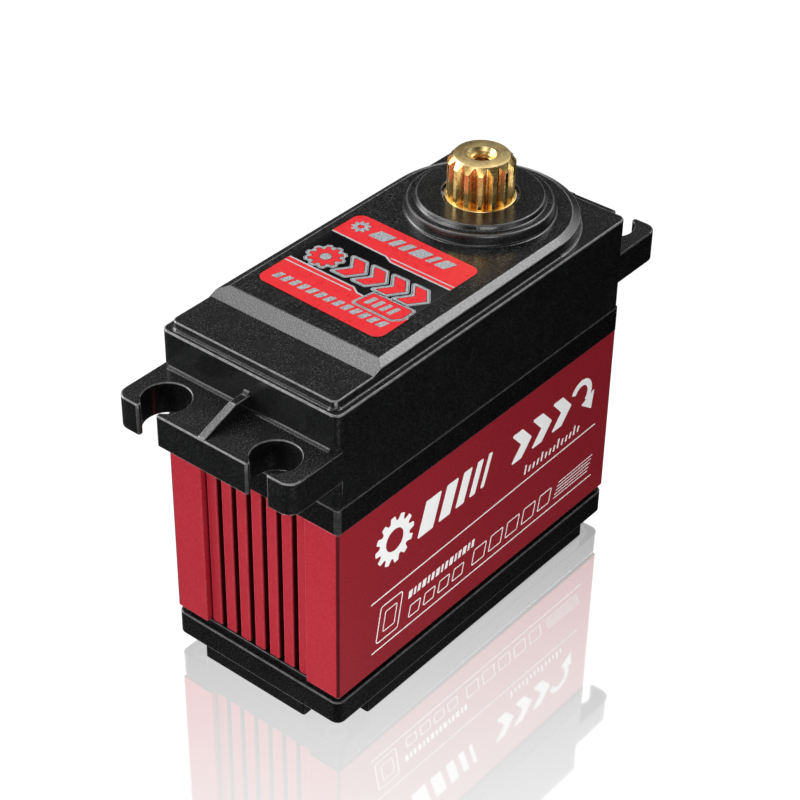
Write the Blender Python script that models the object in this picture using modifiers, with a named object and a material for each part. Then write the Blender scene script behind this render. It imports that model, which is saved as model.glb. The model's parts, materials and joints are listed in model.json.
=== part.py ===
# Large-scale digital servo motor with an aluminium heat-sink middle case.
#
# Frame: origin at the middle of the footprint, on the plane the bottom cover
# rests on. +X points to the output-shaft end, +Z up, along the output shaft.
# Lengths below are in millimetres and are scaled to metres when a mesh is made.

import bpy
import bmesh
import math
from mathutils import Vector

MM = 0.001

# ----------------------------------------------------------------- dimensions
CASE_X = 29.75            # half length of the case
CASE_Y = 14.50            # half width of the plastic case parts
METAL_X = 29.65           # half length of the aluminium middle case
METAL_Y = 14.38           # half width of the aluminium middle case
CORNER_R = 1.2            # vertical edge radius of the case

Z_RELIEF = 2.0            # underside of the corner reliefs
Z_COVER_RIM = 5.75        # outer rim of the bottom cover
Z_COVER_TOP = 6.62        # top of its inset lip, the joint face
LIP_INSET = 0.70
Z_METAL_BOT = 6.70
Z_METAL_TOP = 34.00
Z_BASE_BOT = 34.10        # gearbox base plate
Z_BASE_TOP = 37.95
Z_TOP_BOT = 38.00         # top case joint face
Z_EAR_BOT = 42.05
Z_EAR_TOP = 46.70
Z_SHOULDER = 52.13
Z_STEP_LOW = 53.35        # lower plateau
Z_BEVEL = 53.83           # foot of the plateau's edge bevel
Z_STEP_HIGH = 54.30       # upper plateau

EAR_X = 38.05             # half length over the mounting ears
EAR_CORNER_R = 1.8
SLOT_X = 34.60            # ear slot centres
SLOT_Y = 9.03
SLOT_R = 3.20
SLOT_MOUTH = 3.10         # width of the open mouth of each slot

PLATEAU_X0 = -28.92
PLATEAU_Y = 13.44
PLATEAU_IN_Y = 12.12      # upper edge of the bevel
RAMP_X0 = -21.80
RAMP_X1 = -19.40

RIB_W = 1.10
RIB_Z = 48.90
RIB_FLAT_X = 32.30

FIN_ZONE_Y = 8.88         # half width of the recessed finned zone
FIN_RECESS = 0.75
FIN_W = 1.65
FIN_PITCH = 2.58
FIN_COUNT = 7
GROOVE_DEPTH = 2.0        # below the fin tips

RELIEF = {(1, 1): (4.95, 5.0), (-1, 1): (4.95, 5.0),       # corner reliefs under the
          (-1, -1): (5.9, 6.05), (1, -1): (4.95, 5.0)}     # cover, one larger than the rest
SCREW_X = 27.45
SCREW_Y = 12.05
SCREW_R = 1.0
HEAD_R = 1.75

# shaft positions in the gearbox
OUT = (16.04, 0.0)        # output shaft
AX_B = (2.04, 0.0)        # pin carrying the first and third gears
STAGE_TILT = math.radians(25.0)
STAGE_DIST = 10.0
AX_A = (AX_B[0] - STAGE_DIST * math.cos(STAGE_TILT), STAGE_DIST * math.sin(STAGE_TILT))
MOT = (AX_B[0] - 10.0, 0.0)   # motor shaft

# gear data: module, teeth
M1, PIN1, WH1 = 0.4, 10, 40
M2, PIN2, WH2 = 0.5, 10, 30
M3, PIN3, WH3 = 0.5, 10, 30
M4, PIN4, WH4 = 0.7, 10, 30

BOSS_R0, BOSS_R1, BOSS_R2 = 10.04, 9.82, 8.63
Z_BOSS_LEDGE, Z_BOSS_TOP = 55.90, 56.65
BOSS_HOLE_R = 5.14

SPLINE_TEETH = 15
SPLINE_R = 4.55
SPLINE_ROOT = 3.85
Z_SPLINE_TOP = 62.45
Z_COLLAR = 56.44
COLLAR_R = 4.86

# ------------------------------------------------------------------ clean slate
for old in list(bpy.data.objects):
    bpy.data.objects.remove(old, do_unlink=True)

parts = bpy.data.collections.new("servo_motor")
cutters = bpy.data.collections.new("cutters")
bpy.context.scene.collection.children.link(parts)
bpy.context.scene.collection.children.link(cutters)


# -------------------------------------------------------------------- materials
def material(name, rgb, roughness, metallic):
    m = bpy.data.materials.new(name)
    m.use_nodes = True
    s = m.node_tree.nodes["Principled BSDF"]
    s.inputs["Base Color"].default_value = (rgb[0], rgb[1], rgb[2], 1.0)
    s.inputs["Roughness"].default_value = roughness
    s.inputs["Metallic"].default_value = metallic
    m.diffuse_color = (rgb[0], rgb[1], rgb[2], 1.0)
    return m


def finish_with(obj, rgb, roughness, metallic):
    obj.data.materials.clear()
    obj.data.materials.append(material(obj.name + "_finish", rgb, roughness, metallic))


BLACK_PLASTIC = ((0.018, 0.018, 0.019), 0.5, 0.0)
RED_ANODISED = ((0.50, 0.02, 0.045), 0.38, 0.85)
STEEL = ((0.55, 0.55, 0.56), 0.3, 1.0)
DARK_STEEL = ((0.10, 0.10, 0.11), 0.35, 1.0)
BRASS = ((0.80, 0.56, 0.22), 0.25, 1.0)
COPPER = ((0.72, 0.36, 0.20), 0.35, 1.0)
RUBBER = ((0.012, 0.012, 0.012), 0.7, 0.0)


# -------------------------------------------------------------------- outlines
def circle(r, n, centre=(0.0, 0.0), phase=0.0):
    return [(centre[0] + r * math.cos(phase + 2 * math.pi * k / n),
             centre[1] + r * math.sin(phase + 2 * math.pi * k / n)) for k in range(n)]


def hole(r, n, centre=(0.0, 0.0)):
    """A polygon drawn around a circle, so that a round piece of radius r fits."""
    return circle(r / math.cos(math.pi / n), n, centre)


def arc(centre, r, a0, a1, n):
    return [(centre[0] + r * math.cos(a0 + (a1 - a0) * k / n),
             centre[1] + r * math.sin(a0 + (a1 - a0) * k / n)) for k in range(n + 1)]


def rounded_rect(hx, hy, r, n=4):
    pts = []
    for sx, sy, a in ((1, 1, 0.0), (-1, 1, math.pi / 2), (-1, -1, math.pi), (1, -1, 1.5 * math.pi)):
        pts += arc((sx * (hx - r), sy * (hy - r)), r, a, a + math.pi / 2, n)
    return pts


def cross(long_x, short_y, short_x, long_y):
    """A rectangle with its four corners notched, as twelve points."""
    quarter = [(long_x, short_y), (short_x, short_y), (short_x, long_y)]
    pts = list(quarter)
    pts += [(-x, y) for x, y in reversed(quarter)]
    pts += [(-x, -y) for x, y in quarter]
    pts += [(x, -y) for x, y in reversed(quarter)]
    return pts


def stadium(x0, hy, centre_x, r, corner, n=16):
    """Straight end at x0, round end of radius r about the output shaft."""
    pts = arc((centre_x, 0.0), r, -math.pi / 2, math.pi / 2, n)
    pts += arc((x0 + corner, hy - corner), corner, math.pi / 2, math.pi, 3)
    pts += arc((x0 + corner, -hy + corner), corner, math.pi, 1.5 * math.pi, 3)
    return pts


def finned_outline():
    """Middle-case section: side walls flush, both ends recessed with fins."""
    def end(sign):
        half = []
        x_face, x_tip = METAL_X, METAL_X - FIN_RECESS
        x_root = x_tip - GROOVE_DEPTH
        half.append((x_face, -FIN_ZONE_Y))
        half.append((x_root, -FIN_ZONE_Y))
        first = -FIN_PITCH * (FIN_COUNT - 1) / 2
        for k in range(FIN_COUNT):
            yc = first + k * FIN_PITCH
            half += [(x_root, yc - FIN_W / 2), (x_tip, yc - FIN_W / 2),
                     (x_tip, yc + FIN_W / 2), (x_root, yc + FIN_W / 2)]
        half.append((x_root, FIN_ZONE_Y))
        half.append((x_face, FIN_ZONE_Y))
        return [(sign * x, sign * y) for x, y in half]
    pts = end(1)
    r = 0.4
    for sx, sy, a in ((1, 1, 0.0), (-1, 1, math.pi / 2)):
        pts += arc((sx * (METAL_X - r), sy * (METAL_Y - r)), r, a, a + math.pi / 2, 3)
    pts += end(-1)
    for sx, sy, a in ((-1, -1, math.pi), (1, -1, 1.5 * math.pi)):
        pts += arc((sx * (METAL_X - r), sy * (METAL_Y - r)), r, a, a + math.pi / 2, 3)
    return pts


def gear_outline(teeth, module, centre, phase, backlash=0.14, addendum=0.85,
                 dedendum=1.15, pressure=math.radians(25.0)):
    """Involute-sided teeth; the first tooth points along the phase angle."""
    rp = module * teeth / 2
    rb = rp * math.cos(pressure)
    ra = rp + addendum * module
    rf = rp - dedendum * module
    half = (math.pi * module / 2 - backlash * module) / 2 / rp
    inv_p = math.tan(pressure) - pressure

    def half_angle(r):
        if r <= rb:
            return half + inv_p
        t = math.acos(rb / r)
        return half + inv_p - (math.tan(t) - t)
    radii = [rf, 0.5 * (max(rb, rf) + ra), ra]
    pts = []
    for t in range(teeth):
        c = phase + 2 * math.pi * t / teeth
        flank = [(r, -half_angle(r)) for r in radii] + [(r, half_angle(r)) for r in reversed(radii)]
        pts += [(centre[0] + r * math.cos(c + a), centre[1] + r * math.sin(c + a)) for r, a in flank]
    return pts


def mesh_phase(a, b, teeth_b):
    """Phase of wheel b so that a tooth gap faces wheel a, whose tooth faces b."""
    to_b = math.atan2(b[1] - a[1], b[0] - a[0])
    return to_b, to_b + math.pi + math.pi / teeth_b


# ------------------------------------------------------------------ mesh makers
def put(name, mesh, at=(0.0, 0.0, 0.0), collection=None):
    obj = bpy.data.objects.new(name, mesh)
    mesh.name = name
    (collection or parts).objects.link(obj)
    for v in mesh.vertices:
        v.co -= Vector(at) * MM
    obj.location = Vector(at) * MM
    return obj


def plate(name, loops, z0, z1, at=(0.0, 0.0, 0.0), collection=None):
    """A flat outline, extruded; one with holes is a filled curve, welded."""
    if len(loops) == 1:
        return stack(name, [(loops[0], z0), (loops[0], z1)], at, collection)
    curve = bpy.data.curves.new(name + "_outline", "CURVE")
    curve.dimensions = "2D"
    curve.fill_mode = "BOTH"
    curve.extrude = (z1 - z0) * MM / 2
    for loop in loops:
        s = curve.splines.new("POLY")
        s.points.add(len(loop) - 1)
        for p, (x, y) in zip(s.points, loop):
            p.co = (x * MM, y * MM, 0.0, 1.0)
        s.use_cyclic_u = True
    guide = bpy.data.objects.new(name + "_outline", curve)
    cutters.objects.link(guide)
    guide.location.z = (z0 + z1) * MM / 2
    bpy.context.view_layer.update()
    depsgraph = bpy.context.evaluated_depsgraph_get()
    mesh = bpy.data.meshes.new_from_object(guide.evaluated_get(depsgraph))
    mesh.transform(guide.matrix_world)
    bpy.data.objects.remove(guide, do_unlink=True)
    bm = bmesh.new()
    bm.from_mesh(mesh)
    bmesh.ops.remove_doubles(bm, verts=bm.verts, dist=2e-7)
    bmesh.ops.recalc_face_normals(bm, faces=bm.faces)
    bm.to_mesh(mesh)
    bm.free()
    return put(name, mesh, at, collection)


def stack(name, sections, at=(0.0, 0.0, 0.0), collection=None):
    """Extrudes an outline upward through sections of equal point count."""
    bm = bmesh.new()
    first, z0 = sections[0]
    verts = [bm.verts.new((x * MM, y * MM, z0 * MM)) for x, y in first]
    face = bm.faces.new(verts)
    loop = verts
    for level, (outline, z) in enumerate(sections[1:]):
        grown = bmesh.ops.extrude_face_region(bm, geom=[face])
        new_face = [g for g in grown["geom"] if isinstance(g, bmesh.types.BMFace)][0]
        below = {}
        for v in (g for g in grown["geom"] if isinstance(g, bmesh.types.BMVert)):
            for e in v.link_edges:
                o = e.other_vert(v)
                if o in loop:
                    below[o] = v
        loop = [below[v] for v in loop]
        for v, (x, y) in zip(loop, outline):
            v.co = (x * MM, y * MM, z * MM)
        if level and face.is_valid:
            bmesh.ops.delete(bm, geom=[face], context="FACES_ONLY")
        face = new_face
    bmesh.ops.recalc_face_normals(bm, faces=bm.faces)
    mesh = bpy.data.meshes.new(name)
    bm.to_mesh(mesh)
    bm.free()
    return put(name, mesh, at, collection)


def block(name, x0, x1, y0, y1, z0, z1, at=(0.0, 0.0, 0.0), collection=None):
    bm = bmesh.new()
    bmesh.ops.create_cube(bm, size=1.0)
    size = Vector((x1 - x0, y1 - y0, z1 - z0)) * MM
    mid = Vector((x0 + x1, y0 + y1, z0 + z1)) * MM / 2
    bmesh.ops.scale(bm, vec=size, verts=bm.verts)
    bmesh.ops.translate(bm, vec=mid, verts=bm.verts)
    mesh = bpy.data.meshes.new(name)
    bm.to_mesh(mesh)
    bm.free()
    return put(name, mesh, at, collection)


def turned(name, profile, steps, centre, closed=False, collection=None):
    """Profile points (radius, z), outer side running down, swept round +Z."""
    mesh = bpy.data.meshes.new(name)
    bm = bmesh.new()
    vs = [bm.verts.new((r * MM, 0.0, z * MM)) for r, z in profile]
    for a, b in zip(vs, vs[1:]):
        bm.edges.new((a, b))
    if closed:
        bm.edges.new((vs[-1], vs[0]))
    bm.to_mesh(mesh)
    bm.free()
    obj = bpy.data.objects.new(name, mesh)
    (collection or parts).objects.link(obj)
    obj.location = Vector((centre[0], centre[1], 0.0)) * MM
    screw = obj.modifiers.new("turn", "SCREW")
    screw.axis = "Z"
    screw.angle = 2 * math.pi
    screw.steps = steps
    screw.render_steps = steps
    screw.use_merge_vertices = True
    screw.merge_threshold = 1e-6
    screw.use_normal_calculate = False
    weld = obj.modifiers.new("weld", "WELD")
    weld.merge_threshold = 1e-6
    return obj


def ring(name, r_in, r_out, z0, z1, steps, centre, chamfer=0.0, collection=None):
    """A flat ring; the bore polygon is drawn outside its nominal radius."""
    ri = r_in / math.cos(math.pi / steps)
    c = chamfer
    if c:
        profile = [(r_out - c, z1), (r_out, z1 - c), (r_out, z0 + c), (r_out - c, z0), (ri, z0), (ri, z1)]
    else:
        profile = [(r_out, z1), (r_out, z0), (ri, z0), (ri, z1)]
    return turned(name, profile, steps, centre, closed=True, collection=collection)


def as_cutter(obj):
    for c in list(obj.users_collection):
        c.objects.unlink(obj)
    cutters.objects.link(obj)
    obj.hide_render = True
    obj.display_type = "WIRE"
    return obj


def boolean(obj, other, operation):
    as_cutter(other)
    mod = obj.modifiers.new(operation.lower() + "_" + other.name, "BOOLEAN")
    mod.operation = operation
    mod.object = other
    mod.solver = "EXACT"
    return obj


def smooth(obj, angle=30.0):
    obj.data.shade_smooth()
    obj.data.set_sharp_from_angle(angle=math.radians(angle))


CORNERS = [(sx, sy) for sx in (1, -1) for sy in (1, -1)]

# ================================================================ bottom cover
cover = plate("bottom_cover", [rounded_rect(CASE_X, CASE_Y, CORNER_R)], Z_RELIEF, Z_COVER_RIM)
boolean(cover, plate("cover_lip", [rounded_rect(CASE_X - LIP_INSET, CASE_Y - LIP_INSET, 0.6)], 3.0, Z_COVER_TOP), "UNION")


def foot_outline():
    """The footprint with a rectangular relief taken from each corner."""
    hx, hy = CASE_X - 0.02, CASE_Y - 0.02
    pts = []
    for sx, sy in ((1, 1), (-1, 1), (-1, -1), (1, -1)):
        rx, ry = RELIEF[(sx, sy)]
        corner = [(sx * hx, sy * (hy - ry)), (sx * (hx - rx), sy * (hy - ry)), (sx * (hx - rx), sy * hy)]
        pts += corner if sx * sy > 0 else corner[::-1]
    return pts


foot = plate("cover_foot", [foot_outline()], 0.0, Z_RELIEF + 0.6)
boolean(cover, foot, "UNION")
boolean(cover, plate("cover_cavity", [cross(27.2, 9.0, 24.2, 12.6)], 1.6, 9.0), "DIFFERENCE")
for k, (sx, sy) in enumerate(CORNERS):
    boolean(cover, plate("cover_screw_hole_%d" % k, [hole(SCREW_R + 0.15, 12, (sx * SCREW_X, sy * SCREW_Y))], 1.0, 9.0), "DIFFERENCE")
    boolean(cover, plate("cover_screw_counterbore_%d" % k, [hole(HEAD_R + 0.12, 12, (sx * SCREW_X, sy * SCREW_Y))], 1.0, 3.7), "DIFFERENCE")
boolean(cover, block("cover_lead_notch", 26.0, 31.0, -3.1, 3.1, 3.45, 9.0), "DIFFERENCE")
finish_with(cover, *BLACK_PLASTIC)

# ============================================================ lead inlet grommet
grommet = block("lead_grommet", 26.3, 30.35, -3.0, 3.0, 3.55, 6.6)
boolean(grommet, block("grommet_flange_out", 29.85, 30.55, -3.8, 3.8, 2.9, 6.6), "UNION")
boolean(grommet, block("grommet_flange_in", 26.2, 27.1, -3.8, 3.8, 2.9, 6.6), "UNION")
oval = arc((4.1, 1.4), 0.75, -math.pi / 2, math.pi / 2, 6) + arc((-4.1, 1.4), 0.75, math.pi / 2, 1.5 * math.pi, 6)
lead_bore = plate("grommet_bore", [[(x * 0.42, y - 1.4) for x, y in oval]], -3.0, 3.0, collection=cutters)
lead_bore.rotation_euler = (math.radians(90), 0.0, math.radians(90))
lead_bore.location = Vector((28.3, 0.0, 4.85)) * MM
boolean(grommet, lead_bore, "DIFFERENCE")
finish_with(grommet, *RUBBER)

# ================================================================== middle case
metal_loops = [finned_outline(), cross(26.2, 9.0, 24.2, 12.5)]
for sx, sy in CORNERS:
    metal_loops.append(hole(SCREW_R + 0.15, 12, (sx * SCREW_X, sy * SCREW_Y)))
mid = plate("mid_case", metal_loops, Z_METAL_BOT, Z_METAL_TOP)
finish_with(mid, *RED_ANODISED)

# ================================================================= gearbox base
base_loops = [rounded_rect(CASE_X, CASE_Y, 0.7)]
for sx, sy in CORNERS:
    base_loops.append(hole(SCREW_R + 0.15, 12, (sx * SCREW_X, sy * SCREW_Y)))
base_loops.append(hole(2.65, 20, MOT))
MOTOR_SCREWS = [(MOT[0], 8.2), (MOT[0], -8.2)]
for c in MOTOR_SCREWS:
    base_loops.append(hole(1.1, 12, c))
base = plate("gearbox_base", base_loops, Z_BASE_BOT, Z_BASE_TOP)
boolean(base, turned("lower_bearing_pocket", [(0.0, 39.0), (6.08, 39.0), (6.08, 34.6), (4.1, 34.6), (4.1, 33.0), (0.0, 33.0)],
                     32, OUT), "DIFFERENCE")
for c, tag in ((AX_A, "a"), (AX_B, "b")):
    boolean(base, plate("base_pin_hole_" + tag, [hole(1.03, 12, c)], 35.4, 39.0), "DIFFERENCE")
for k, c in enumerate(MOTOR_SCREWS):
    boolean(base, plate("motor_screw_counterbore_%d" % k, [hole(2.1, 16, c)], 36.3, 39.0), "DIFFERENCE")
finish_with(base, *BLACK_PLASTIC)

# ===================================================================== top case
top = plate("top_case", [rounded_rect(CASE_X, CASE_Y, CORNER_R)], Z_TOP_BOT, Z_SHOULDER)


def ear_outline():
    """Both ears as one outline, with the four slots open to the ends."""
    gap = math.asin(SLOT_MOUTH / 2 / SLOT_R)
    half = []
    for s in (-1, 1):
        c = (SLOT_X, s * SLOT_Y)
        mouth = [(EAR_X, c[1] - SLOT_MOUTH / 2)]
        mouth += [(c[0] + SLOT_R * math.cos(a), c[1] + SLOT_R * math.sin(a))
                  for a in [-gap - k * (2 * math.pi - 2 * gap) / 18 for k in range(19)]]
        mouth += [(EAR_X, c[1] + SLOT_MOUTH / 2)]
        half += mouth
    r = EAR_CORNER_R
    lower = arc((EAR_X - r, -CASE_Y + r), r, -math.pi / 2, 0.0, 4)
    upper = arc((EAR_X - r, CASE_Y - r), r, 0.0, math.pi / 2, 4)
    right = lower + half + upper
    return right + [(-x, -y) for x, y in right]


boolean(top, plate("ears", [ear_outline()], Z_EAR_BOT, Z_EAR_TOP), "UNION")
for s in (1, -1):
    rib = plate("ear_rib_%s" % ("front" if s > 0 else "rear"),
                [[(s * 28.0, 46.0), (s * (EAR_X - 0.1), 46.0), (s * (EAR_X - 0.1), Z_EAR_TOP + 0.12),
                  (s * RIB_FLAT_X, RIB_Z), (s * 28.0, RIB_Z)]], -RIB_W / 2, RIB_W / 2)
    rib.rotation_euler = (math.radians(90), 0.0, 0.0)
    boolean(top, rib, "UNION")

outer = stadium(PLATEAU_X0, PLATEAU_Y, OUT[0], PLATEAU_Y, 1.0)
inner = stadium(PLATEAU_X0, PLATEAU_IN_Y, OUT[0], PLATEAU_IN_Y + 0.2, 1.0)
plateau = stack("plateau", [(outer, 51.5), (outer, Z_BEVEL), (inner, Z_STEP_HIGH)])
ramp_cut = plate("ramp_cut", [[(-40.0, Z_STEP_LOW), (RAMP_X0, Z_STEP_LOW), (RAMP_X1, Z_STEP_HIGH),
                               (RAMP_X1 + 1.0, 56.0), (-40.0, 56.0)]], -20.0, 20.0)
ramp_cut.rotation_euler = (math.radians(90), 0.0, 0.0)
boolean(plateau, ramp_cut, "DIFFERENCE")
boolean(top, plateau, "UNION")
boss = stack("boss", [(circle(r, 40, OUT), z) for r, z in
                      ((BOSS_R0, 53.0), (BOSS_R0, 54.6), (BOSS_R1, Z_BOSS_LEDGE), (BOSS_R2 + 0.12, Z_BOSS_LEDGE + 0.01),
                       (BOSS_R2, Z_BOSS_TOP))])
boolean(top, boss, "UNION")

boolean(top, plate("gear_chamber", [cross(27.6, 9.6, 24.9, 12.85)], 30.0, 51.0), "DIFFERENCE")
boolean(top, plate("upper_bearing_pocket", [hole(7.55, 40, OUT)], 45.0, 55.65), "DIFFERENCE")
boolean(top, plate("shaft_hole", [hole(BOSS_HOLE_R, 40, OUT)], 45.0, 60.0), "DIFFERENCE")
for c, tag in ((AX_A, "a"), (AX_B, "b")):
    boolean(top, plate("top_pin_hole_" + tag, [hole(1.03, 12, c)], 45.0, 53.0), "DIFFERENCE")
for k, (sx, sy) in enumerate(CORNERS):
    boolean(top, plate("top_screw_hole_%d" % k, [hole(SCREW_R + 0.1, 12, (sx * SCREW_X, sy * SCREW_Y))], 30.0, 44.2), "DIFFERENCE")
finish_with(top, *BLACK_PLASTIC)

# =================================================================== top label
LABEL = [(-16.75, -9.75), (3.75, -9.85), (4.35, 10.95), (-16.05, 11.05)]


def rounded_polygon(corners, r, n=4):
    pts = []
    for k, p in enumerate(corners):
        a, c = Vector(corners[k - 1]), Vector(corners[(k + 1) % len(corners)])
        p = Vector(p)
        da, dc = (a - p).normalized(), (c - p).normalized()
        turn = da.angle(dc)
        reach = r / math.tan(turn / 2)
        centre = p + (da + dc).normalized() * (r / math.sin(turn / 2))
        a0 = p + da * reach - centre
        a1 = p + dc * reach - centre
        t0 = math.atan2(a0.y, a0.x)
        t1 = math.atan2(a1.y, a1.x)
        if t1 < t0:
            t1 += 2 * math.pi
        pts += arc((centre.x, centre.y), r, t0, t1, n)
    return pts


label = plate("top_label", [rounded_polygon(LABEL, 1.4)], 54.34, 54.44)
finish_with(label, (0.75, 0.03, 0.04), 0.35, 0.0)

# ================================================================= case screws
for k, (sx, sy) in enumerate(CORNERS):
    c = (sx * SCREW_X, sy * SCREW_Y)
    screw = turned("case_screw_%d" % (k + 1),
                   [(0.0, 43.6), (0.55, 43.6), (SCREW_R, 43.0), (SCREW_R, 3.6), (HEAD_R, 3.6), (HEAD_R, 2.6),
                    (HEAD_R - 0.3, 2.25), (0.0, 2.25)], 12, c)
    boolean(screw, plate("case_screw_socket_%d" % k, [circle(0.85, 6, c)], 1.0, 3.0), "DIFFERENCE")
    finish_with(screw, *DARK_STEEL)

# ==================================================================== bearings
finish_with(ring("upper_bearing_outer", 6.6, 7.5, 51.55, 55.55, 32, OUT), *STEEL)
finish_with(ring("upper_bearing_inner", 4.95, 5.8, 51.55, 55.55, 32, OUT), *STEEL)
finish_with(ring("lower_bearing_outer", 5.1, 6.0, 34.7, 37.9, 28, OUT), *STEEL)
finish_with(ring("lower_bearing_inner", 3.03, 4.0, 34.7, 37.9, 28, OUT), *STEEL)


# ================================================================ output shaft
def spline_outline(teeth, r_tip, r_root, centre):
    pts = []
    for t in range(teeth):
        c = 2 * math.pi * t / teeth
        p = math.pi / teeth
        for r, f in ((r_root, -0.86), (r_tip, -0.30), (r_tip, 0.30), (r_root, 0.86)):
            pts.append((centre[0] + r * math.cos(c + f * p), centre[1] + r * math.sin(c + f * p)))
    return pts


OUT3 = (OUT[0], OUT[1], 0.0)
shaft = turned("output_shaft",
               [(0.0, Z_COLLAR), (COLLAR_R - 0.2, Z_COLLAR), (COLLAR_R, Z_COLLAR - 0.2), (COLLAR_R, 51.0),
                (4.4, 50.85), (4.4, 47.7), (COLLAR_R, 47.6), (COLLAR_R, 46.6), (3.8, 46.4), (3.8, 38.15),
                (2.94, 38.05), (2.94, 34.3), (0.0, 34.3)], 30, OUT)
spline = plate("spline", [spline_outline(SPLINE_TEETH, SPLINE_R, SPLINE_ROOT, OUT)], 55.8, Z_SPLINE_TOP)
boolean(spline, turned("spline_envelope", [(0.0, Z_SPLINE_TOP + 0.01), (3.72, Z_SPLINE_TOP + 0.01), (SPLINE_R + 0.02, 61.46),
                                          (SPLINE_R + 0.02, 50.0), (0.0, 50.0)], 30, OUT), "INTERSECT")
boolean(shaft, spline, "UNION")
boolean(shaft, turned("horn_screw_hole", [(0.0, 63.1), (2.53, 63.1), (1.25, 61.82), (1.25, 53.0), (0.0, 52.3)], 16, OUT), "DIFFERENCE")


def d_outline(r, flat, n, centre):
    """A circle with a flat across it at the distance flat from its centre."""
    a = math.acos(flat / r)
    return arc(centre, r, a, 2 * math.pi - a, n)


boolean(shaft, plate("pot_socket", [d_outline(1.62 / math.cos(math.pi / 18), 1.12, 18, OUT)], 30.0, 38.0), "DIFFERENCE")
finish_with(shaft, *BRASS)

# ======================================================================== gears
wheel_z = {"g1": (38.8, 41.3), "g2": (42.0, 44.2), "g3": (44.9, 47.2), "out": (47.9, 50.6)}
tooth_m, wheel_m = mesh_phase(MOT, AX_B, WH1)       # motor pinion, gear 1 wheel
tooth_1, wheel_1 = mesh_phase(AX_B, AX_A, WH2)      # gear 1 pinion, gear 2 wheel
tooth_2, wheel_2 = mesh_phase(AX_A, AX_B, WH3)      # gear 2 pinion, gear 3 wheel
tooth_3, wheel_3 = mesh_phase(AX_B, OUT, WH4)       # gear 3 pinion, output gear


def wheel(name, teeth, module, centre, phase, z0, z1, bore, finish):
    at = (centre[0], centre[1], 0.0)
    obj = plate(name, [gear_outline(teeth, module, centre, phase), hole(bore, 16, centre)], z0, z1, at)
    finish_with(obj, *finish)
    return obj


def compound(tag, centre, wheel_teeth, wheel_module, wheel_phase, zw, pin_teeth, pin_module, pin_phase, z_pin, hub_r):
    """A brass wheel pressed on the plain hub of a steel pinion."""
    w = wheel("gear_%s_wheel" % tag, wheel_teeth, wheel_module, centre, wheel_phase, zw[0], zw[1], hub_r + 0.03, BRASS)
    p = wheel("gear_%s_pinion" % tag, pin_teeth, pin_module, centre, pin_phase, zw[1] + 0.06, z_pin, 1.06, STEEL)
    hub = plate("gear_%s_hub" % tag, [circle(hub_r, 16, centre), hole(1.06, 16, centre)], zw[0] - 0.2, zw[1] + 0.3)
    boolean(p, hub, "UNION")
    return w, p


compound("1", AX_B, WH1, M1, wheel_m, wheel_z["g1"], PIN2, M2, tooth_1, 44.5, 1.85)
compound("2", AX_A, WH2, M2, wheel_1, wheel_z["g2"], PIN3, M3, tooth_2, 47.5, 1.85)
compound("3", AX_B, WH3, M3, wheel_2, wheel_z["g3"], PIN4, M4, tooth_3, 50.8, 2.5)
wheel("output_gear", WH4, M4, OUT, wheel_3, wheel_z["out"][0], wheel_z["out"][1], 4.46, STEEL)
wheel("motor_pinion", PIN1, M1, MOT, tooth_m, 38.5, 41.4, 1.03, BRASS)

for c, tag in ((AX_A, "a"), (AX_B, "b")):
    pin = turned("gear_pin_" + tag, [(0.0, 52.9), (0.85, 52.9), (1.0, 52.75), (1.0, 35.65), (0.85, 35.5), (0.0, 35.5)], 12, c)
    finish_with(pin, *STEEL)

# ======================================================================== motor
Z_CAN = 33.9
can = turned("motor_can", [(3.1, Z_CAN), (11.2, Z_CAN), (11.6, Z_CAN - 0.4), (11.6, 9.9), (10.95, 9.9), (10.95, 33.1), (3.1, 33.1)],
             32, MOT, closed=True)
for k, c in enumerate(MOTOR_SCREWS):
    boolean(can, plate("motor_tapped_hole_%d" % k, [hole(1.06, 12, c)], 30.0, 36.0), "DIFFERENCE")
finish_with(can, *STEEL)
finish_with(ring("motor_front_bush", 1.06, 3.02, 31.0, 34.0, 20, MOT), *BRASS)
cap = turned("motor_end_cap", [(11.55, 9.8), (11.55, 8.6), (1.12, 8.6), (1.12, 11.2), (10.7, 11.2), (10.8, 9.8)], 32, MOT, closed=True)
for k, s in enumerate((1, -1)):
    boolean(cap, block("terminal_slot_%d" % k, MOT[0] - 1.3, MOT[0] + 1.3, s * 7.6 - 0.5, s * 7.6 + 0.5, 5.0, 15.0), "DIFFERENCE")
finish_with(cap, (0.02, 0.02, 0.02), 0.5, 0.0)
for k, a0 in enumerate((math.radians(15), math.radians(195))):
    seg = arc(MOT, 10.85, a0, a0 + math.radians(150), 14) + arc(MOT, 9.0, a0 + math.radians(150), a0, 14)
    finish_with(plate("motor_magnet_%d" % (k + 1), [seg], 13.0, 31.0), (0.05, 0.05, 0.055), 0.6, 0.1)


def armature_outline(poles, r_out, r_core, web, opening, centre):
    pts = []
    for k in range(poles):
        c = 2 * math.pi * k / poles
        edge = math.pi / poles - opening / r_out / 2
        inner_a = math.asin(web / 2 / r_core)
        pts.append((r_core, c - inner_a))
        neck = r_out - 1.5
        pts.append((neck, c - math.asin(web / 2 / neck)))
        pts.append((neck + 0.5, c - edge))
        for j in range(5):
            pts.append((r_out, c - edge + 2 * edge * j / 4))
        pts.append((neck + 0.5, c + edge))
        pts.append((neck, c + math.asin(web / 2 / neck)))
        pts.append((r_core, c + inner_a))
    return [(centre[0] + r * math.cos(a), centre[1] + r * math.sin(a)) for r, a in pts]


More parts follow.
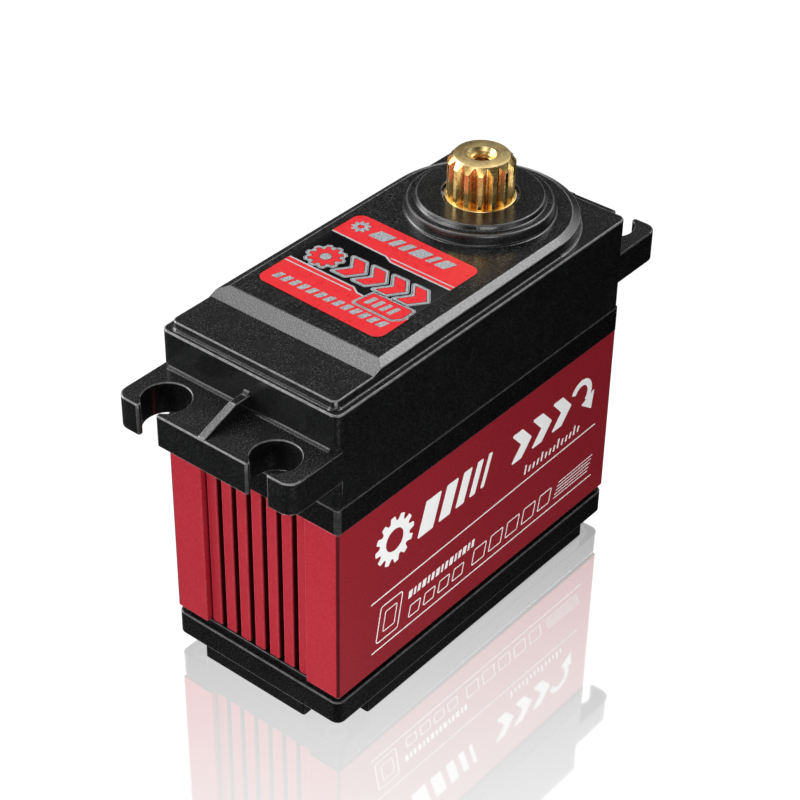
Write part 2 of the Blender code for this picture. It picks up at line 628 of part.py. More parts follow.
MOT3 = (MOT[0], MOT[1], 0.0)
finish_with(plate("armature", [armature_outline(5, 8.6, 3.4, 2.2, 1.0, MOT), hole(1.03, 12, MOT)], 16.5, 30.0, MOT3), *COPPER)
comm = plate("commutator", [circle(2.9, 16, MOT), hole(1.03, 12, MOT)], 11.9, 15.6, MOT3)
finish_with(comm, *COPPER)
motor_shaft = turned("motor_shaft", [(0.0, 41.6), (0.85, 41.6), (1.0, 41.45), (1.0, 9.2), (0.85, 9.05), (0.0, 9.05)], 12, MOT)
finish_with(motor_shaft, *STEEL)
for k, s in enumerate((1, -1)):
    ys = sorted((s * 3.0, s * 6.6))
    finish_with(block("motor_brush_%d" % (k + 1), MOT[0] - 1.2, MOT[0] + 1.2, ys[0], ys[1], 12.2, 14.6), (0.08, 0.075, 0.07), 0.6, 0.2)
    finish_with(block("motor_terminal_%d" % (k + 1), MOT[0] - 1.2, MOT[0] + 1.2, s * 7.6 - 0.4, s * 7.6 + 0.4, 6.65, 12.0), *COPPER)
for k, c in enumerate(MOTOR_SCREWS):
    screw = turned("motor_screw_%d" % (k + 1),
                   [(0.0, 37.85), (1.7, 37.85), (2.0, 37.5), (2.0, 36.4), (1.0, 36.4), (1.0, 31.6), (0.0, 31.6)], 12, c)
    boolean(screw, plate("motor_screw_socket_%d" % k, [circle(0.9, 6, c)], 36.9, 39.0), "DIFFERENCE")
    finish_with(screw, *DARK_STEEL)

# ======================================================= position potentiometer
pot = turned("pot_body", [(1.7, 33.9), (3.4, 33.9), (3.4, 33.2), (6.0, 33.2), (6.0, 25.5), (1.7, 25.5)], 24, OUT, closed=True)
boolean(pot, block("pot_terminals", OUT[0] - 4.0, OUT[0] + 4.0, -9.5, -5.0, 26.0, 27.2), "UNION")
finish_with(pot, (0.05, 0.11, 0.25), 0.4, 0.0)
pot_shaft = plate("pot_shaft", [d_outline(1.5, 1.0, 18, OUT)], 26.0, 37.7, OUT3)
finish_with(pot_shaft, *STEEL)

# ================================================================= electronics
board = plate("circuit_board", [cross(25.9, 8.7, 23.9, 12.3),
                                hole(0.6, 8, (20.0, 0.0)), hole(0.6, 8, (20.0, 2.2)), hole(0.6, 8, (20.0, -2.2))], 5.3, 6.5)
finish_with(board, (0.02, 0.16, 0.06), 0.45, 0.0)
finish_with(block("controller_chip", 2.0, 9.0, -3.5, 3.5, 3.9, 5.22), (0.02, 0.02, 0.02), 0.5, 0.0)
for k in range(4):
    y0 = -9.6 + 5.0 * k
    finish_with(block("mosfet_%d" % (k + 1), -16.0, -12.0, y0, y0 + 4.0, 3.8, 5.22), (0.03, 0.03, 0.03), 0.5, 0.0)
capacitor = turned("smoothing_capacitor", [(0.0, 15.0), (2.9, 15.0), (3.15, 14.75), (3.15, 7.3), (2.9, 7.1), (3.15, 6.9), (3.15, 6.58), (0.0, 6.58)],
                   24, (11.0, -8.4))
finish_with(capacitor, (0.05, 0.06, 0.12), 0.35, 0.3)
finish_with(block("lead_socket", 17.8, 25.0, -4.4, 4.4, 6.6, 10.2), (0.75, 0.72, 0.62), 0.5, 0.0)

for obj in parts.objects:
    if obj.type == "MESH":
        smooth(obj)
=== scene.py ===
# Looks of a large-scale digital servo motor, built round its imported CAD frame.
# Lengths are in millimetres and become metres when a mesh is made.
import bpy
import bmesh
import json
import math
import random
from mathutils import Matrix, Vector


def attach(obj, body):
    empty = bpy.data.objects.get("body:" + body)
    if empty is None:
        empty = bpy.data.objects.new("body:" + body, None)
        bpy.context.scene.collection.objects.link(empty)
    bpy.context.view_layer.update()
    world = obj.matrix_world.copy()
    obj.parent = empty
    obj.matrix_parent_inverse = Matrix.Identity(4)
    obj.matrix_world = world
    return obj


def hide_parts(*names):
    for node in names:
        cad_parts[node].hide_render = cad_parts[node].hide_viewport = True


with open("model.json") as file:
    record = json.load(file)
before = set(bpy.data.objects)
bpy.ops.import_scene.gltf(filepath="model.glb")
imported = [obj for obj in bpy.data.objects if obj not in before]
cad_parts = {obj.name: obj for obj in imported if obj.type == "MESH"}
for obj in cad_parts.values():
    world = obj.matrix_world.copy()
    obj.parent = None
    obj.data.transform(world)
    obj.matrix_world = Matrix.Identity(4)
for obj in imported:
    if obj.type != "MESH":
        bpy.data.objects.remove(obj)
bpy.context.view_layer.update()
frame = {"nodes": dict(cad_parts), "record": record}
MM = 0.001
rng = random.Random(11)

# ----------------------------------------------------------------- dimensions
CASE_X, CASE_Y = 29.75, 14.50
METAL_X, METAL_Y = 29.65, 14.38
Z_METAL_BOT, Z_METAL_TOP = 6.70, 34.00
OUT = (16.04, 0.0)
MOT = (-7.96, 0.0)
CORNERS = [(sx, sy) for sx in (1, -1) for sy in (1, -1)]
RELIEF = {(1, 1): (4.95, 5.0), (-1, 1): (4.95, 5.0), (-1, -1): (5.9, 6.05), (1, -1): (4.95, 5.0)}
SCREW_X, SCREW_Y, SCREW_R, HEAD_R = 27.45, 12.05, 1.0, 1.75
FIN_ZONE_Y, FIN_RECESS, FIN_W, FIN_PITCH, FIN_COUNT, GROOVE_DEPTH = 8.88, 0.75, 1.65, 2.58, 7, 2.0
EAR_X, SLOT_X, SLOT_Y, SLOT_R, SLOT_MOUTH = 38.05, 34.60, 9.03, 3.20, 3.10


# -------------------------------------------------------------------- outlines
def circle(r, n, centre=(0.0, 0.0), phase=0.0):
    return [(centre[0] + r * math.cos(phase + 2 * math.pi * k / n),
             centre[1] + r * math.sin(phase + 2 * math.pi * k / n)) for k in range(n)]


def arc(centre, r, a0, a1, n):
    return [(centre[0] + r * math.cos(a0 + (a1 - a0) * k / n),
             centre[1] + r * math.sin(a0 + (a1 - a0) * k / n)) for k in range(n + 1)]


def rounded_rect(hx, hy, r, n=8, centre=(0.0, 0.0)):
    pts = []
    for sx, sy, a in ((1, 1, 0.0), (-1, 1, math.pi / 2), (-1, -1, math.pi), (1, -1, 1.5 * math.pi)):
        pts += arc((centre[0] + sx * (hx - r), centre[1] + sy * (hy - r)), r, a, a + math.pi / 2, n)
    return pts


def cross(long_x, short_y, short_x, long_y):
    quarter = [(long_x, short_y), (short_x, short_y), (short_x, long_y)]
    pts = list(quarter)
    pts += [(-x, y) for x, y in reversed(quarter)]
    pts += [(-x, -y) for x, y in quarter]
    pts += [(x, -y) for x, y in reversed(quarter)]
    return pts


def area(loop):
    return 0.5 * sum(a[0] * b[1] - b[0] * a[1] for a, b in zip(loop, loop[1:] + loop[:1]))


def anticlockwise(loop):
    return list(loop) if area(loop) > 0 else list(reversed(loop))


def inset(loop, d):
    """Moves every point of an anticlockwise outline inward by d (mitred)."""
    out = []
    for k, p in enumerate(loop):
        a, b = Vector(loop[k - 1]), Vector(loop[(k + 1) % len(loop)])
        p = Vector(p)
        e1, e2 = (p - a).normalized(), (b - p).normalized()
        n1, n2 = Vector((-e1.y, e1.x)), Vector((-e2.y, e2.x))
        s = (n1 + n2) / max(0.35, 1.0 + n1.dot(n2))
        out.append((p.x + s.x * d, p.y + s.y * d))
    return out


def rounded(loop, r, n=4, least=math.radians(14.0)):
    """Rounds the corners of an outline. r is one radius, or a list with one for each corner."""
    out = []
    for k, p in enumerate(loop):
        a, b = Vector(loop[k - 1]), Vector(loop[(k + 1) % len(loop)])
        p = Vector(p)
        da, db = a - p, b - p
        la, lb = da.length, db.length
        da.normalize(), db.normalize()
        inside = da.angle(db)
        rad = r[k] if isinstance(r, (list, tuple)) else r
        if math.pi - inside < least or rad <= 0:
            out.append((p.x, p.y))
            continue
        reach = min(rad / math.tan(inside / 2), 0.46 * la, 0.46 * lb)
        rad = reach * math.tan(inside / 2)
        centre = p + (da + db).normalized() * (rad / math.sin(inside / 2))
        s, e = p + da * reach - centre, p + db * reach - centre
        t0, t1 = math.atan2(s.y, s.x), math.atan2(e.y, e.x)
        turn = (t1 - t0 + math.pi) % (2 * math.pi) - math.pi
        out += arc((centre.x, centre.y), rad, t0, t0 + turn, n)
    return out


def strip(points, width):
    """The outline of a line of constant width through the points."""
    left, right = [], []
    for k, p in enumerate(points):
        p = Vector(p)
        d = Vector((0.0, 0.0))
        if k:
            d += (p - Vector(points[k - 1])).normalized()
        if k < len(points) - 1:
            d += (Vector(points[k + 1]) - p).normalized()
        d.normalize()
        n = Vector((-d.y, d.x)) * width / 2
        if 0 < k < len(points) - 1:
            c = (p - Vector(points[k - 1])).normalized().dot(d)
            n /= max(0.5, c)
        left.append((p.x + n.x, p.y + n.y))
        right.append((p.x - n.x, p.y - n.y))
    return anticlockwise(left + right[::-1])


def slanted(u0, u1, v0, v1, lean=0.0):
    return [(u0, v0), (u1, v0), (u1 + lean, v1), (u0 + lean, v1)]


def chevron(u, v, w, h, t):
    return [(u, v - h), (u + w, v - h), (u + w + t, v), (u + w, v + h), (u, v + h), (u + t, v)]


def cog(centre, r_out, r_root, teeth, phase=0.0):
    pts = []
    for k in range(teeth):
        c = phase + 2 * math.pi * k / teeth
        p = math.pi / teeth
        for r, f in ((r_root, -0.74), (r_out, -0.40), (r_out, 0.40), (r_root, 0.74)):
            pts.append((centre[0] + r * math.cos(c + f * p), centre[1] + r * math.sin(c + f * p)))
    return pts


# ----------------------------------------------------------------- mesh makers
def upright(u, v, w):
    return (u, v, w)


def along_y(u, v, w):
    """A section drawn in x and z, grown along y."""
    return (u, w, v)


def new_object(name, bm):
    bmesh.ops.recalc_face_normals(bm, faces=bm.faces)
    mesh = bpy.data.meshes.new(name)
    bm.to_mesh(mesh)
    bm.free()
    obj = bpy.data.objects.new(name, mesh)
    bpy.context.scene.collection.objects.link(obj)
    return obj


def loft(name, sections, place=upright):
    """Joins outlines of equal point count, and closes both ends."""
    bm = bmesh.new()
    rings = [[bm.verts.new(Vector(place(u, v, w)) * MM) for u, v in outline] for outline, w in sections]
    for a, b in zip(rings, rings[1:]):
        for i in range(len(a)):
            j = (i + 1) % len(a)
            bm.faces.new((a[i], a[j], b[j], b[i]))
    bm.faces.new(rings[0][::-1])
    bm.faces.new(rings[-1])
    return new_object(name, bm)


def pillow(name, outline, w0, w1, r0=0.15, r1=0.15, n=3, place=upright):
    """An extruded outline whose edges are rounded at both ends."""
    outline = anticlockwise(outline)
    sections = []
    for k in range(n + 1):
        a = math.pi / 2 * k / n
        sections.append((inset(outline, r0 * (1 - math.sin(a))), w0 + r0 * (1 - math.cos(a))))
    if r0 == 0:
        sections = [(outline, w0)]
    if r1 == 0:
        sections.append((outline, w1))
    else:
        for k in range(n + 1):
            a = math.pi / 2 * k / n
            sections.append((inset(outline, r1 * (1 - math.cos(a))), w1 - r1 * (1 - math.sin(a))))
    return loft(name, sections, place)


def lathe(name, profile, steps, centre=(0.0, 0.0), closed=False):
    """Turns a profile of (radius, z) points about a vertical line."""
    bm = bmesh.new()
    columns = []
    for r, z in profile:
        if r < 1e-9:
            columns.append([bm.verts.new(Vector((centre[0], centre[1], z)) * MM)])
        else:
            columns.append([bm.verts.new(Vector((x, y, z)) * MM) for x, y in circle(r, steps, centre)])
    pairs = list(zip(columns, columns[1:])) + ([(columns[-1], columns[0])] if closed else [])
    for a, b in pairs:
        for i in range(steps):
            j = (i + 1) % steps
            if len(a) == 1 and len(b) > 1:
                bm.faces.new((a[0], b[i], b[j]))
            elif len(b) == 1 and len(a) > 1:
                bm.faces.new((a[i], a[j], b[0]))
            elif len(a) > 1:
                bm.faces.new((a[i], a[j], b[j], b[i]))
    for ring in (columns[0], columns[-1]):
        if len(ring) > 1 and not closed:
            bm.faces.new(ring)
    return new_object(name, bm)


def prism(name, groups, place, w0, w1):
    """Thin flat shapes: each group is a list of outlines, the first one outside and the rest holes."""
    meshes = []
    for k, loops in enumerate(groups):
        curve = bpy.data.curves.new(name + "_outline", "CURVE")
        curve.dimensions = "2D"
        curve.fill_mode = "BOTH"
        curve.extrude = (w1 - w0) / 2
        for loop in loops:
            s = curve.splines.new("POLY")
            s.points.add(len(loop) - 1)
            for p, (x, y) in zip(s.points, loop):
                p.co = (x, y, 0.0, 1.0)
            s.use_cyclic_u = True
        guide = bpy.data.objects.new(name + "_outline", curve)
        bpy.context.scene.collection.objects.link(guide)
        bpy.context.view_layer.update()
        mesh = bpy.data.meshes.new_from_object(guide.evaluated_get(bpy.context.evaluated_depsgraph_get()))
        bpy.data.objects.remove(guide, do_unlink=True)
        bpy.data.curves.remove(curve)
        meshes.append(mesh)
    bm = bmesh.new()
    for mesh in meshes:
        part = bmesh.new()
        part.from_mesh(mesh)
        bmesh.ops.remove_doubles(part, verts=part.verts, dist=2e-4)
        for v in part.verts:
            v.co = Vector(place(v.co.x, v.co.y, (w0 + w1) / 2 + v.co.z)) * MM
        bmesh.ops.recalc_face_normals(part, faces=part.faces)
        kept = bpy.data.meshes.new("kept")
        part.to_mesh(kept)
        part.free()
        bm.from_mesh(kept)
        bpy.data.meshes.remove(kept)
        bpy.data.meshes.remove(mesh)
    return new_object(name, bm)


def combine(obj, *steps):
    """Applies boolean steps one by one, each an (operation, other object) pair, and removes the other objects."""
    for op, other in steps:
        mod = obj.modifiers.new("step", "BOOLEAN")
        mod.operation = op
        mod.object = other
        mod.solver = "EXACT"
        bpy.context.view_layer.update()
        mesh = bpy.data.meshes.new_from_object(obj.evaluated_get(bpy.context.evaluated_depsgraph_get()))
        obj.modifiers.clear()
        old = obj.data
        obj.data = mesh
        bpy.data.meshes.remove(old)
        data = other.data
        bpy.data.objects.remove(other, do_unlink=True)
        bpy.data.meshes.remove(data)
        bm = bmesh.new()
        bm.from_mesh(mesh)
        bmesh.ops.remove_doubles(bm, verts=bm.verts, dist=1e-7)
        bmesh.ops.recalc_face_normals(bm, faces=bm.faces)
        bm.to_mesh(mesh)
        bm.free()
    obj.data.name = obj.name
    return obj


def shade(obj, angle=32.0, weighted=True):
    """Smooth shading with creases, and a face attribute that is 1 on the narrow facets of rounded edges."""
    me = obj.data
    me.shade_smooth()
    me.set_sharp_from_angle(angle=math.radians(angle))
    bm = bmesh.new()
    bm.from_mesh(me)
    layer = bm.faces.layers.float.new("edge")
    for f in bm.faces:
        width = 2000.0 * f.calc_area() / max(1e-9, f.calc_perimeter())
        here = f.calc_center_median()
        lean = sum((other.calc_center_median() - here).dot(f.normal) for e in f.edges for other in e.link_faces if other is not f)
        f[layer] = 1.0 if 1e-5 < width < 0.15 and lean < 0.0 else 0.0
    for e in list(bm.edges):
        if len(e.link_faces) == 2 and min(f.calc_area() for f in e.link_faces) > 3e-6 and e.calc_face_angle(0.0) > math.radians(8):
            e.smooth = False
            for end in list(e.verts):
                if e.calc_length() > 1e-3:
                    extra, _ = bmesh.utils.edge_split(e, end, 0.12e-3 / e.calc_length())
                    extra.smooth = False
                    if extra.calc_length() > e.calc_length():
                        e = extra
                for side in list(end.link_edges):       # the crease's end must not blend the two faces through its neighbours
                    if side.smooth and len(side.link_faces) == 2 and side.calc_face_angle(0.0) > math.radians(3):
                        if side.calc_length() > 0.5e-3:
                            extra, _ = bmesh.utils.edge_split(side, end, 0.12e-3 / side.calc_length())
                            side = extra if end in extra.verts else side
                        side.smooth = False
    bm.to_mesh(me)
    bm.free()
    if weighted:
        mod = obj.modifiers.new("even_shading", "WEIGHTED_NORMAL")
        mod.keep_sharp = True
        mod.weight = 100
    return obj


def piece(obj, body, mat, stands_for=(), angle=32.0, weighted=True):
    shade(obj, angle, weighted)
    obj.data.materials.clear()
    obj.data.materials.append(mat)
    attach(obj, body)
    if stands_for:
        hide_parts(*stands_for)
    return obj


# ------------------------------------------------------------------- materials
def new_material(name):
    m = bpy.data.materials.new(name)
    m.use_nodes = True
    nt = m.node_tree
    nt.nodes.clear()
    out = nt.nodes.new("ShaderNodeOutputMaterial")
    bsdf = nt.nodes.new("ShaderNodeBsdfPrincipled")
    nt.links.new(bsdf.outputs[0], out.inputs[0])
    coord = nt.nodes.new("ShaderNodeTexCoord")
    return m, nt, bsdf, coord.outputs["Object"]


def noise(nt, vec, scale, detail=2.0, rough=0.5, stretch=None):
    if stretch:
        mp = nt.nodes.new("ShaderNodeMapping")
        mp.inputs["Scale"].default_value = stretch
        nt.links.new(vec, mp.inputs[0])
        vec = mp.outputs[0]
    t = nt.nodes.new("ShaderNodeTexNoise")
    t.inputs["Scale"].default_value = scale
    t.inputs["Detail"].default_value = detail
    t.inputs["Roughness"].default_value = rough
    nt.links.new(vec, t.inputs["Vector"])
    return t.outputs["Fac"]


def ramp(nt, fac, stops):
    r = nt.nodes.new("ShaderNodeValToRGB")
    els = r.color_ramp.elements
    while len(els) < len(stops):
        els.new(0.5)
    for e, (p, c) in zip(els, stops):
        e.position = p
        e.color = (c[0], c[1], c[2], 1.0) if isinstance(c, (tuple, list)) else (c, c, c, 1.0)
    nt.links.new(fac, r.inputs[0])
    return r.outputs[0]


def mix(nt, fac, a, b, mode="MIX"):
    m = nt.nodes.new("ShaderNodeMix")
    m.data_type = "RGBA"
    m.blend_type = mode
    for sock, val in ((m.inputs[0], fac), (m.inputs[6], a), (m.inputs[7], b)):
        if isinstance(val, bpy.types.NodeSocket):
            nt.links.new(val, sock)
        elif isinstance(val, (tuple, list)):
            sock.default_value = (val[0], val[1], val[2], 1.0)
        elif sock.type == "RGBA":
            sock.default_value = (val, val, val, 1.0)
        else:
            sock.default_value = val
    return m.outputs[2]


def math_node(nt, op, a, b=0.0, c=None):
    m = nt.nodes.new("ShaderNodeMath")
    m.operation = op
    for sock, val in zip(m.inputs, (a, b, c)):
        if val is None:
            continue
        if isinstance(val, bpy.types.NodeSocket):
            nt.links.new(val, sock)
        else:
            sock.default_value = val
    return m.outputs[0]


def remap(nt, fac, lo, hi, a=0.0, b=1.0):
    m = nt.nodes.new("ShaderNodeMapRange")
    m.inputs["From Min"].default_value = a
    m.inputs["From Max"].default_value = b
    m.inputs["To Min"].default_value = lo
    m.inputs["To Max"].default_value = hi
    nt.links.new(fac, m.inputs["Value"])
    return m.outputs[0]


def bump(nt, bsdf, layers):
    """Layers of (height socket, strength, distance in metres), one over the other."""
    last = None
    for height, strength, distance in layers:
        b = nt.nodes.new("ShaderNodeBump")
        b.inputs["Strength"].default_value = strength
        b.inputs["Distance"].default_value = distance
        nt.links.new(height, b.inputs["Height"])
        if last is not None:
            nt.links.new(last, b.inputs["Normal"])
        last = b.outputs[0]
    nt.links.new(last, bsdf.inputs["Normal"])


def edge_wear_and_highlight(nt, co, scale=900.0):
    """1 on the edge facets, broken up by a fine noise: a mask for edge wear and painted edge highlights."""
    at = nt.nodes.new("ShaderNodeAttribute")
    at.attribute_type = "GEOMETRY"
    at.attribute_name = "edge"
    return math_node(nt, "MULTIPLY", at.outputs["Fac"], remap(nt, noise(nt, co, scale, 3.0, 0.6), 0.45, 1.0, 0.35, 0.60))


def moulded(name, rgb, rough=0.45, grain=3400.0, depth=0.000012, specular=0.5, fleck=0.5, edge_wear_and_glint=0.25, strength=0.9):
    """Moulded plastic with a fine spark-eroded grain, pale flecks partly painted as sparkle on the tops, and edges
    lightened by wear and painted highlight.
    """
    m, nt, s, co = new_material(name)
    fine = noise(nt, co, grain, 2.0, 0.55)
    broad = noise(nt, co, 140.0, 3.0, 0.55)
    flecks = noise(nt, co, grain * 1.15, 1.0, 0.4)
    patch = noise(nt, co, 420.0, 3.0, 0.6)
    dark = mix(nt, broad, [c * 0.78 for c in rgb], [c * 1.25 for c in rgb])
    dark = mix(nt, ramp(nt, fine, [(0.30, 0.75), (0.50, 0.0)]), dark, [c * 0.25 for c in rgb])
    spot = math_node(nt, "MULTIPLY", ramp(nt, flecks, [(0.48, 0.0), (0.68, 1.0)]), remap(nt, patch, 0.55, 1.0, 0.40, 0.60))
    facing = nt.nodes.new("ShaderNodeSeparateXYZ")
    nt.links.new(nt.nodes.new("ShaderNodeNewGeometry").outputs["Normal"], facing.inputs[0])
    top_dust_and_sparkle = math_node(nt, "MULTIPLY", spot, remap(nt, facing.outputs["Z"], 0.30, 1.0, 0.0, 0.6))    # pale flecks only on faces that look up: partly dust, partly painted sparkle lightening the tops
    colour = mix(nt, math_node(nt, "MULTIPLY", top_dust_and_sparkle, fleck), dark, [c * 2.0 + 0.036 for c in rgb])
    # edges lightened, partly wear and partly painted highlight, strongest where the edge faces up
    worn_and_lit_edges = math_node(nt, "MULTIPLY", edge_wear_and_highlight(nt, co), remap(nt, facing.outputs["Z"], 0.35, 1.0, 0.0, 0.5))
    axis = nt.nodes.new("ShaderNodeVectorMath")
    axis.operation = "MULTIPLY"
    nt.links.new(co, axis.inputs[0])
    axis.inputs[1].default_value = (1.0, 1.0, 0.0)
    reach = nt.nodes.new("ShaderNodeVectorMath")
    reach.operation = "DISTANCE"
    nt.links.new(axis.outputs[0], reach.inputs[0])
    reach.inputs[1].default_value = (OUT[0] * MM, OUT[1] * MM, 0.0)
    worn_and_lit_edges = math_node(nt, "MULTIPLY", worn_and_lit_edges, remap(nt, reach.outputs["Value"], 0.25, 1.0, 0.0112, 0.0125))       # painted edge highlight and wear kept faint on the boss
    colour = mix(nt, math_node(nt, "MULTIPLY", worn_and_lit_edges, edge_wear_and_glint), colour, [c * 5.0 + 0.30 for c in rgb])
    nt.links.new(colour, s.inputs["Base Color"])
    r = math_node(nt, "ADD", remap(nt, fine, rough - 0.10, rough + 0.07, 0.3, 0.7), remap(nt, broad, -0.02, 0.02, 0.3, 0.7))
    nt.links.new(r, s.inputs["Roughness"])
    s.inputs["Specular IOR Level"].default_value = specular
    bump(nt, s, [(broad, 0.15, 0.00003), (fine, strength, depth)])
    return m


def metal(name, rgb, rough=0.25, grain=2500.0, stretch=None, depth=0.000004, tint=None, metallic=1.0, strength=0.5):
    """Machined or drawn metal with fine tool lines, stains, and edges brightened by wear and painted highlight."""
    m, nt, s, co = new_material(name)
    line = noise(nt, co, grain, 3.0, 0.6, stretch)
    broad = noise(nt, co, 260.0, 4.0, 0.6)
    colour = mix(nt, broad, [c * 0.86 for c in rgb], [min(1.0, c * 1.1) for c in (tint or rgb)])
    worn_and_lit_edges = edge_wear_and_highlight(nt, co)
    # edges lightened, partly wear and partly painted highlight
    colour = mix(nt, math_node(nt, "MULTIPLY", worn_and_lit_edges, 0.35), colour, [min(1.0, c * 1.25 + 0.05) for c in rgb])
    nt.links.new(colour, s.inputs["Base Color"])
    s.inputs["Metallic"].default_value = metallic
    r = math_node(nt, "ADD", remap(nt, line, rough - 0.06, rough + 0.08, 0.3, 0.7), remap(nt, broad, -0.05, 0.06, 0.3, 0.7))
    nt.links.new(r, s.inputs["Roughness"])
    bump(nt, s, [(line, strength, depth)])
    return m


def anodised(name, rgb, deep):
    """Bead-blasted aluminium, dyed and anodised: sparkling grain, faint streaks, edges paled as wear and painted
    highlight, painted shade in the fin grooves and at the upright corners.
    """
    m, nt, s, co = new_material(name)
    grain = noise(nt, co, 4600.0, 2.0, 0.6)
    fleck = noise(nt, co, 3400.0, 1.0, 0.5)
    cloud = noise(nt, co, 60.0, 3.0, 0.55)
    colour = mix(nt, cloud, deep, rgb)
    colour = mix(nt, ramp(nt, fleck, [(0.50, 0.0), (0.72, 0.30)]), colour, [min(1.0, c * 1.3 + 0.05) for c in rgb])
    colour = mix(nt, ramp(nt, grain, [(0.28, 0.35), (0.45, 0.0)]), colour, [c * 0.62 for c in deep])
    place = nt.nodes.new("ShaderNodeSeparateXYZ")
    nt.links.new(co, place.inputs[0])
    along = math_node(nt, "ABSOLUTE", place.outputs["X"], 0.0)
    across = math_node(nt, "ABSOLUTE", place.outputs["Y"], 0.0)
    groove_shade = math_node(nt, "MULTIPLY", remap(nt, along, 1.0, 0.0, 0.02848, 0.02876), remap(nt, along, 0.0, 1.0, 0.0262, 0.0266))
    groove_shade = math_node(nt, "MULTIPLY", groove_shade, remap(nt, across, 1.0, 0.0, 0.0092, 0.0096))
    colour = mix(nt, math_node(nt, "MULTIPLY", groove_shade, 0.90), colour, [c * 0.05 for c in deep])          # painted shade darkening the fin grooves
    worn_and_lit_edges = edge_wear_and_highlight(nt, co)
    # edge facets paled, partly wear and partly painted highlight, kept off the corners of the long sides
    pale_edge_wear_and_highlight = math_node(nt, "MULTIPLY", worn_and_lit_edges, remap(nt, across, 0.30, 0.0, 0.0130, 0.0138))
    colour = mix(nt, pale_edge_wear_and_highlight, colour, [min(1.0, c * 1.35 + 0.12) for c in rgb])
    # painted shade: the upright corners of the case are darkened
    corner_shade = math_node(nt, "MULTIPLY", remap(nt, along, 0.0, 0.85, 0.02926, 0.02936), remap(nt, across, 0.0, 1.0, 0.01399, 0.01409))
    colour = mix(nt, corner_shade, colour, [c * 0.10 for c in deep])
    nt.links.new(colour, s.inputs["Base Color"])
    s.inputs["Metallic"].default_value = 0.40
    nt.links.new(remap(nt, grain, 0.28, 0.42, 0.3, 0.7), s.inputs["Roughness"])
    bump(nt, s, [(grain, 0.7, 0.000008)])
    return m


def printed(name, rgb, rough=0.3, glitter=0.0, metallic=0.0, specular=0.5, spread=0.06):
    """Printed film or ink: slight unevenness of ink, optional metal flake."""
    m, nt, s, co = new_material(name)
    ink = noise(nt, co, 900.0, 4.0, 0.65)
    flake = noise(nt, co, 6500.0, 1.0, 0.5)
    colour = mix(nt, ink, [c * (1 - spread) for c in rgb], [min(1.0, c * (1 + spread)) for c in rgb])
    if glitter:
        colour = mix(nt, ramp(nt, flake, [(0.42, 0.0), (0.60, glitter)]), colour, [min(1.0, c * 1.5 + 0.2) for c in rgb])
        colour = mix(nt, ramp(nt, flake, [(0.34, glitter), (0.46, 0.0)]), colour, [c * 0.35 for c in rgb])
    nt.links.new(colour, s.inputs["Base Color"])
    s.inputs["Metallic"].default_value = metallic
    s.inputs["Specular IOR Level"].default_value = specular
    nt.links.new(remap(nt, ink, rough - 0.06, rough + 0.08, 0.3, 0.7), s.inputs["Roughness"])
    bump(nt, s, [(ink, 0.12, 0.000004), (flake, 0.1 + 0.4 * glitter, 0.000004)])
    return m


def turned_brass(name, rgb, centre):
    """Machined brass with tool rings about the shaft and fine upright lines on the teeth."""
    m, nt, s, co = new_material(name)
    mp = nt.nodes.new("ShaderNodeMapping")
    mp.inputs["Location"].default_value = (-centre[0] * MM, -centre[1] * MM, 0.0)
    nt.links.new(co, mp.inputs[0])
    sep = nt.nodes.new("ShaderNodeSeparateXYZ")
    nt.links.new(mp.outputs[0], sep.inputs[0])
    rr = math_node(nt, "SQRT", math_node(nt, "ADD", math_node(nt, "MULTIPLY", sep.outputs[0], sep.outputs[0]),
                                         math_node(nt, "MULTIPLY", sep.outputs[1], sep.outputs[1])))
    comb = nt.nodes.new("ShaderNodeCombineXYZ")
    nt.links.new(math_node(nt, "MULTIPLY", rr, 6000.0), comb.inputs[0])
    nt.links.new(math_node(nt, "MULTIPLY", sep.outputs[2], 900.0), comb.inputs[2])
    rings = noise(nt, comb.outputs[0], 1.0, 3.0, 0.6)
    upright_lines = noise(nt, co, 3800.0, 2.0, 0.6, (1.0, 1.0, 0.08))
    stain = noise(nt, co, 420.0, 4.0, 0.62)
    pit = noise(nt, co, 1500.0, 2.0, 0.5)
    colour = mix(nt, stain, [c * 0.84 for c in rgb], [min(1.0, c * 1.12) for c in rgb])
    colour = mix(nt, ramp(nt, pit, [(0.70, 0.0), (0.80, 0.55)]), colour, (0.16, 0.07, 0.02))
    roots = math_node(nt, "MULTIPLY", remap(nt, rr, 1.0, 0.0, 0.00390, 0.00432), remap(nt, sep.outputs[2], 0.80, 0.0, 0.0610, 0.0614))
    roots = math_node(nt, "MULTIPLY", roots, remap(nt, sep.outputs[2], 0.0, 1.0, 0.0556, 0.0562))
    colour = mix(nt, roots, colour, (0.34, 0.10, 0.03))                                                       # tarnish between the teeth
    worn_and_lit_edges = edge_wear_and_highlight(nt, co)
    # edges lightened, partly wear and partly painted highlight
    colour = mix(nt, math_node(nt, "MULTIPLY", worn_and_lit_edges, 0.4), colour, (1.0, 0.86, 0.52))
    nt.links.new(colour, s.inputs["Base Color"])
    s.inputs["Metallic"].default_value = 1.0
    facing = nt.nodes.new("ShaderNodeSeparateXYZ")
    nt.links.new(nt.nodes.new("ShaderNodeNewGeometry").outputs["Normal"], facing.inputs[0])
    turned = math_node(nt, "ADD", remap(nt, rings, 0.16, 0.30, 0.3, 0.7), remap(nt, facing.outputs["Z"], 0.0, 0.06, 0.8, 1.0))
    nt.links.new(math_node(nt, "ADD", turned, remap(nt, stain, -0.04, 0.07, 0.3, 0.7)), s.inputs["Roughness"])
    bump(nt, s, [(rings, 0.35, 0.000006), (upright_lines, 0.25, 0.000005)])
    return m


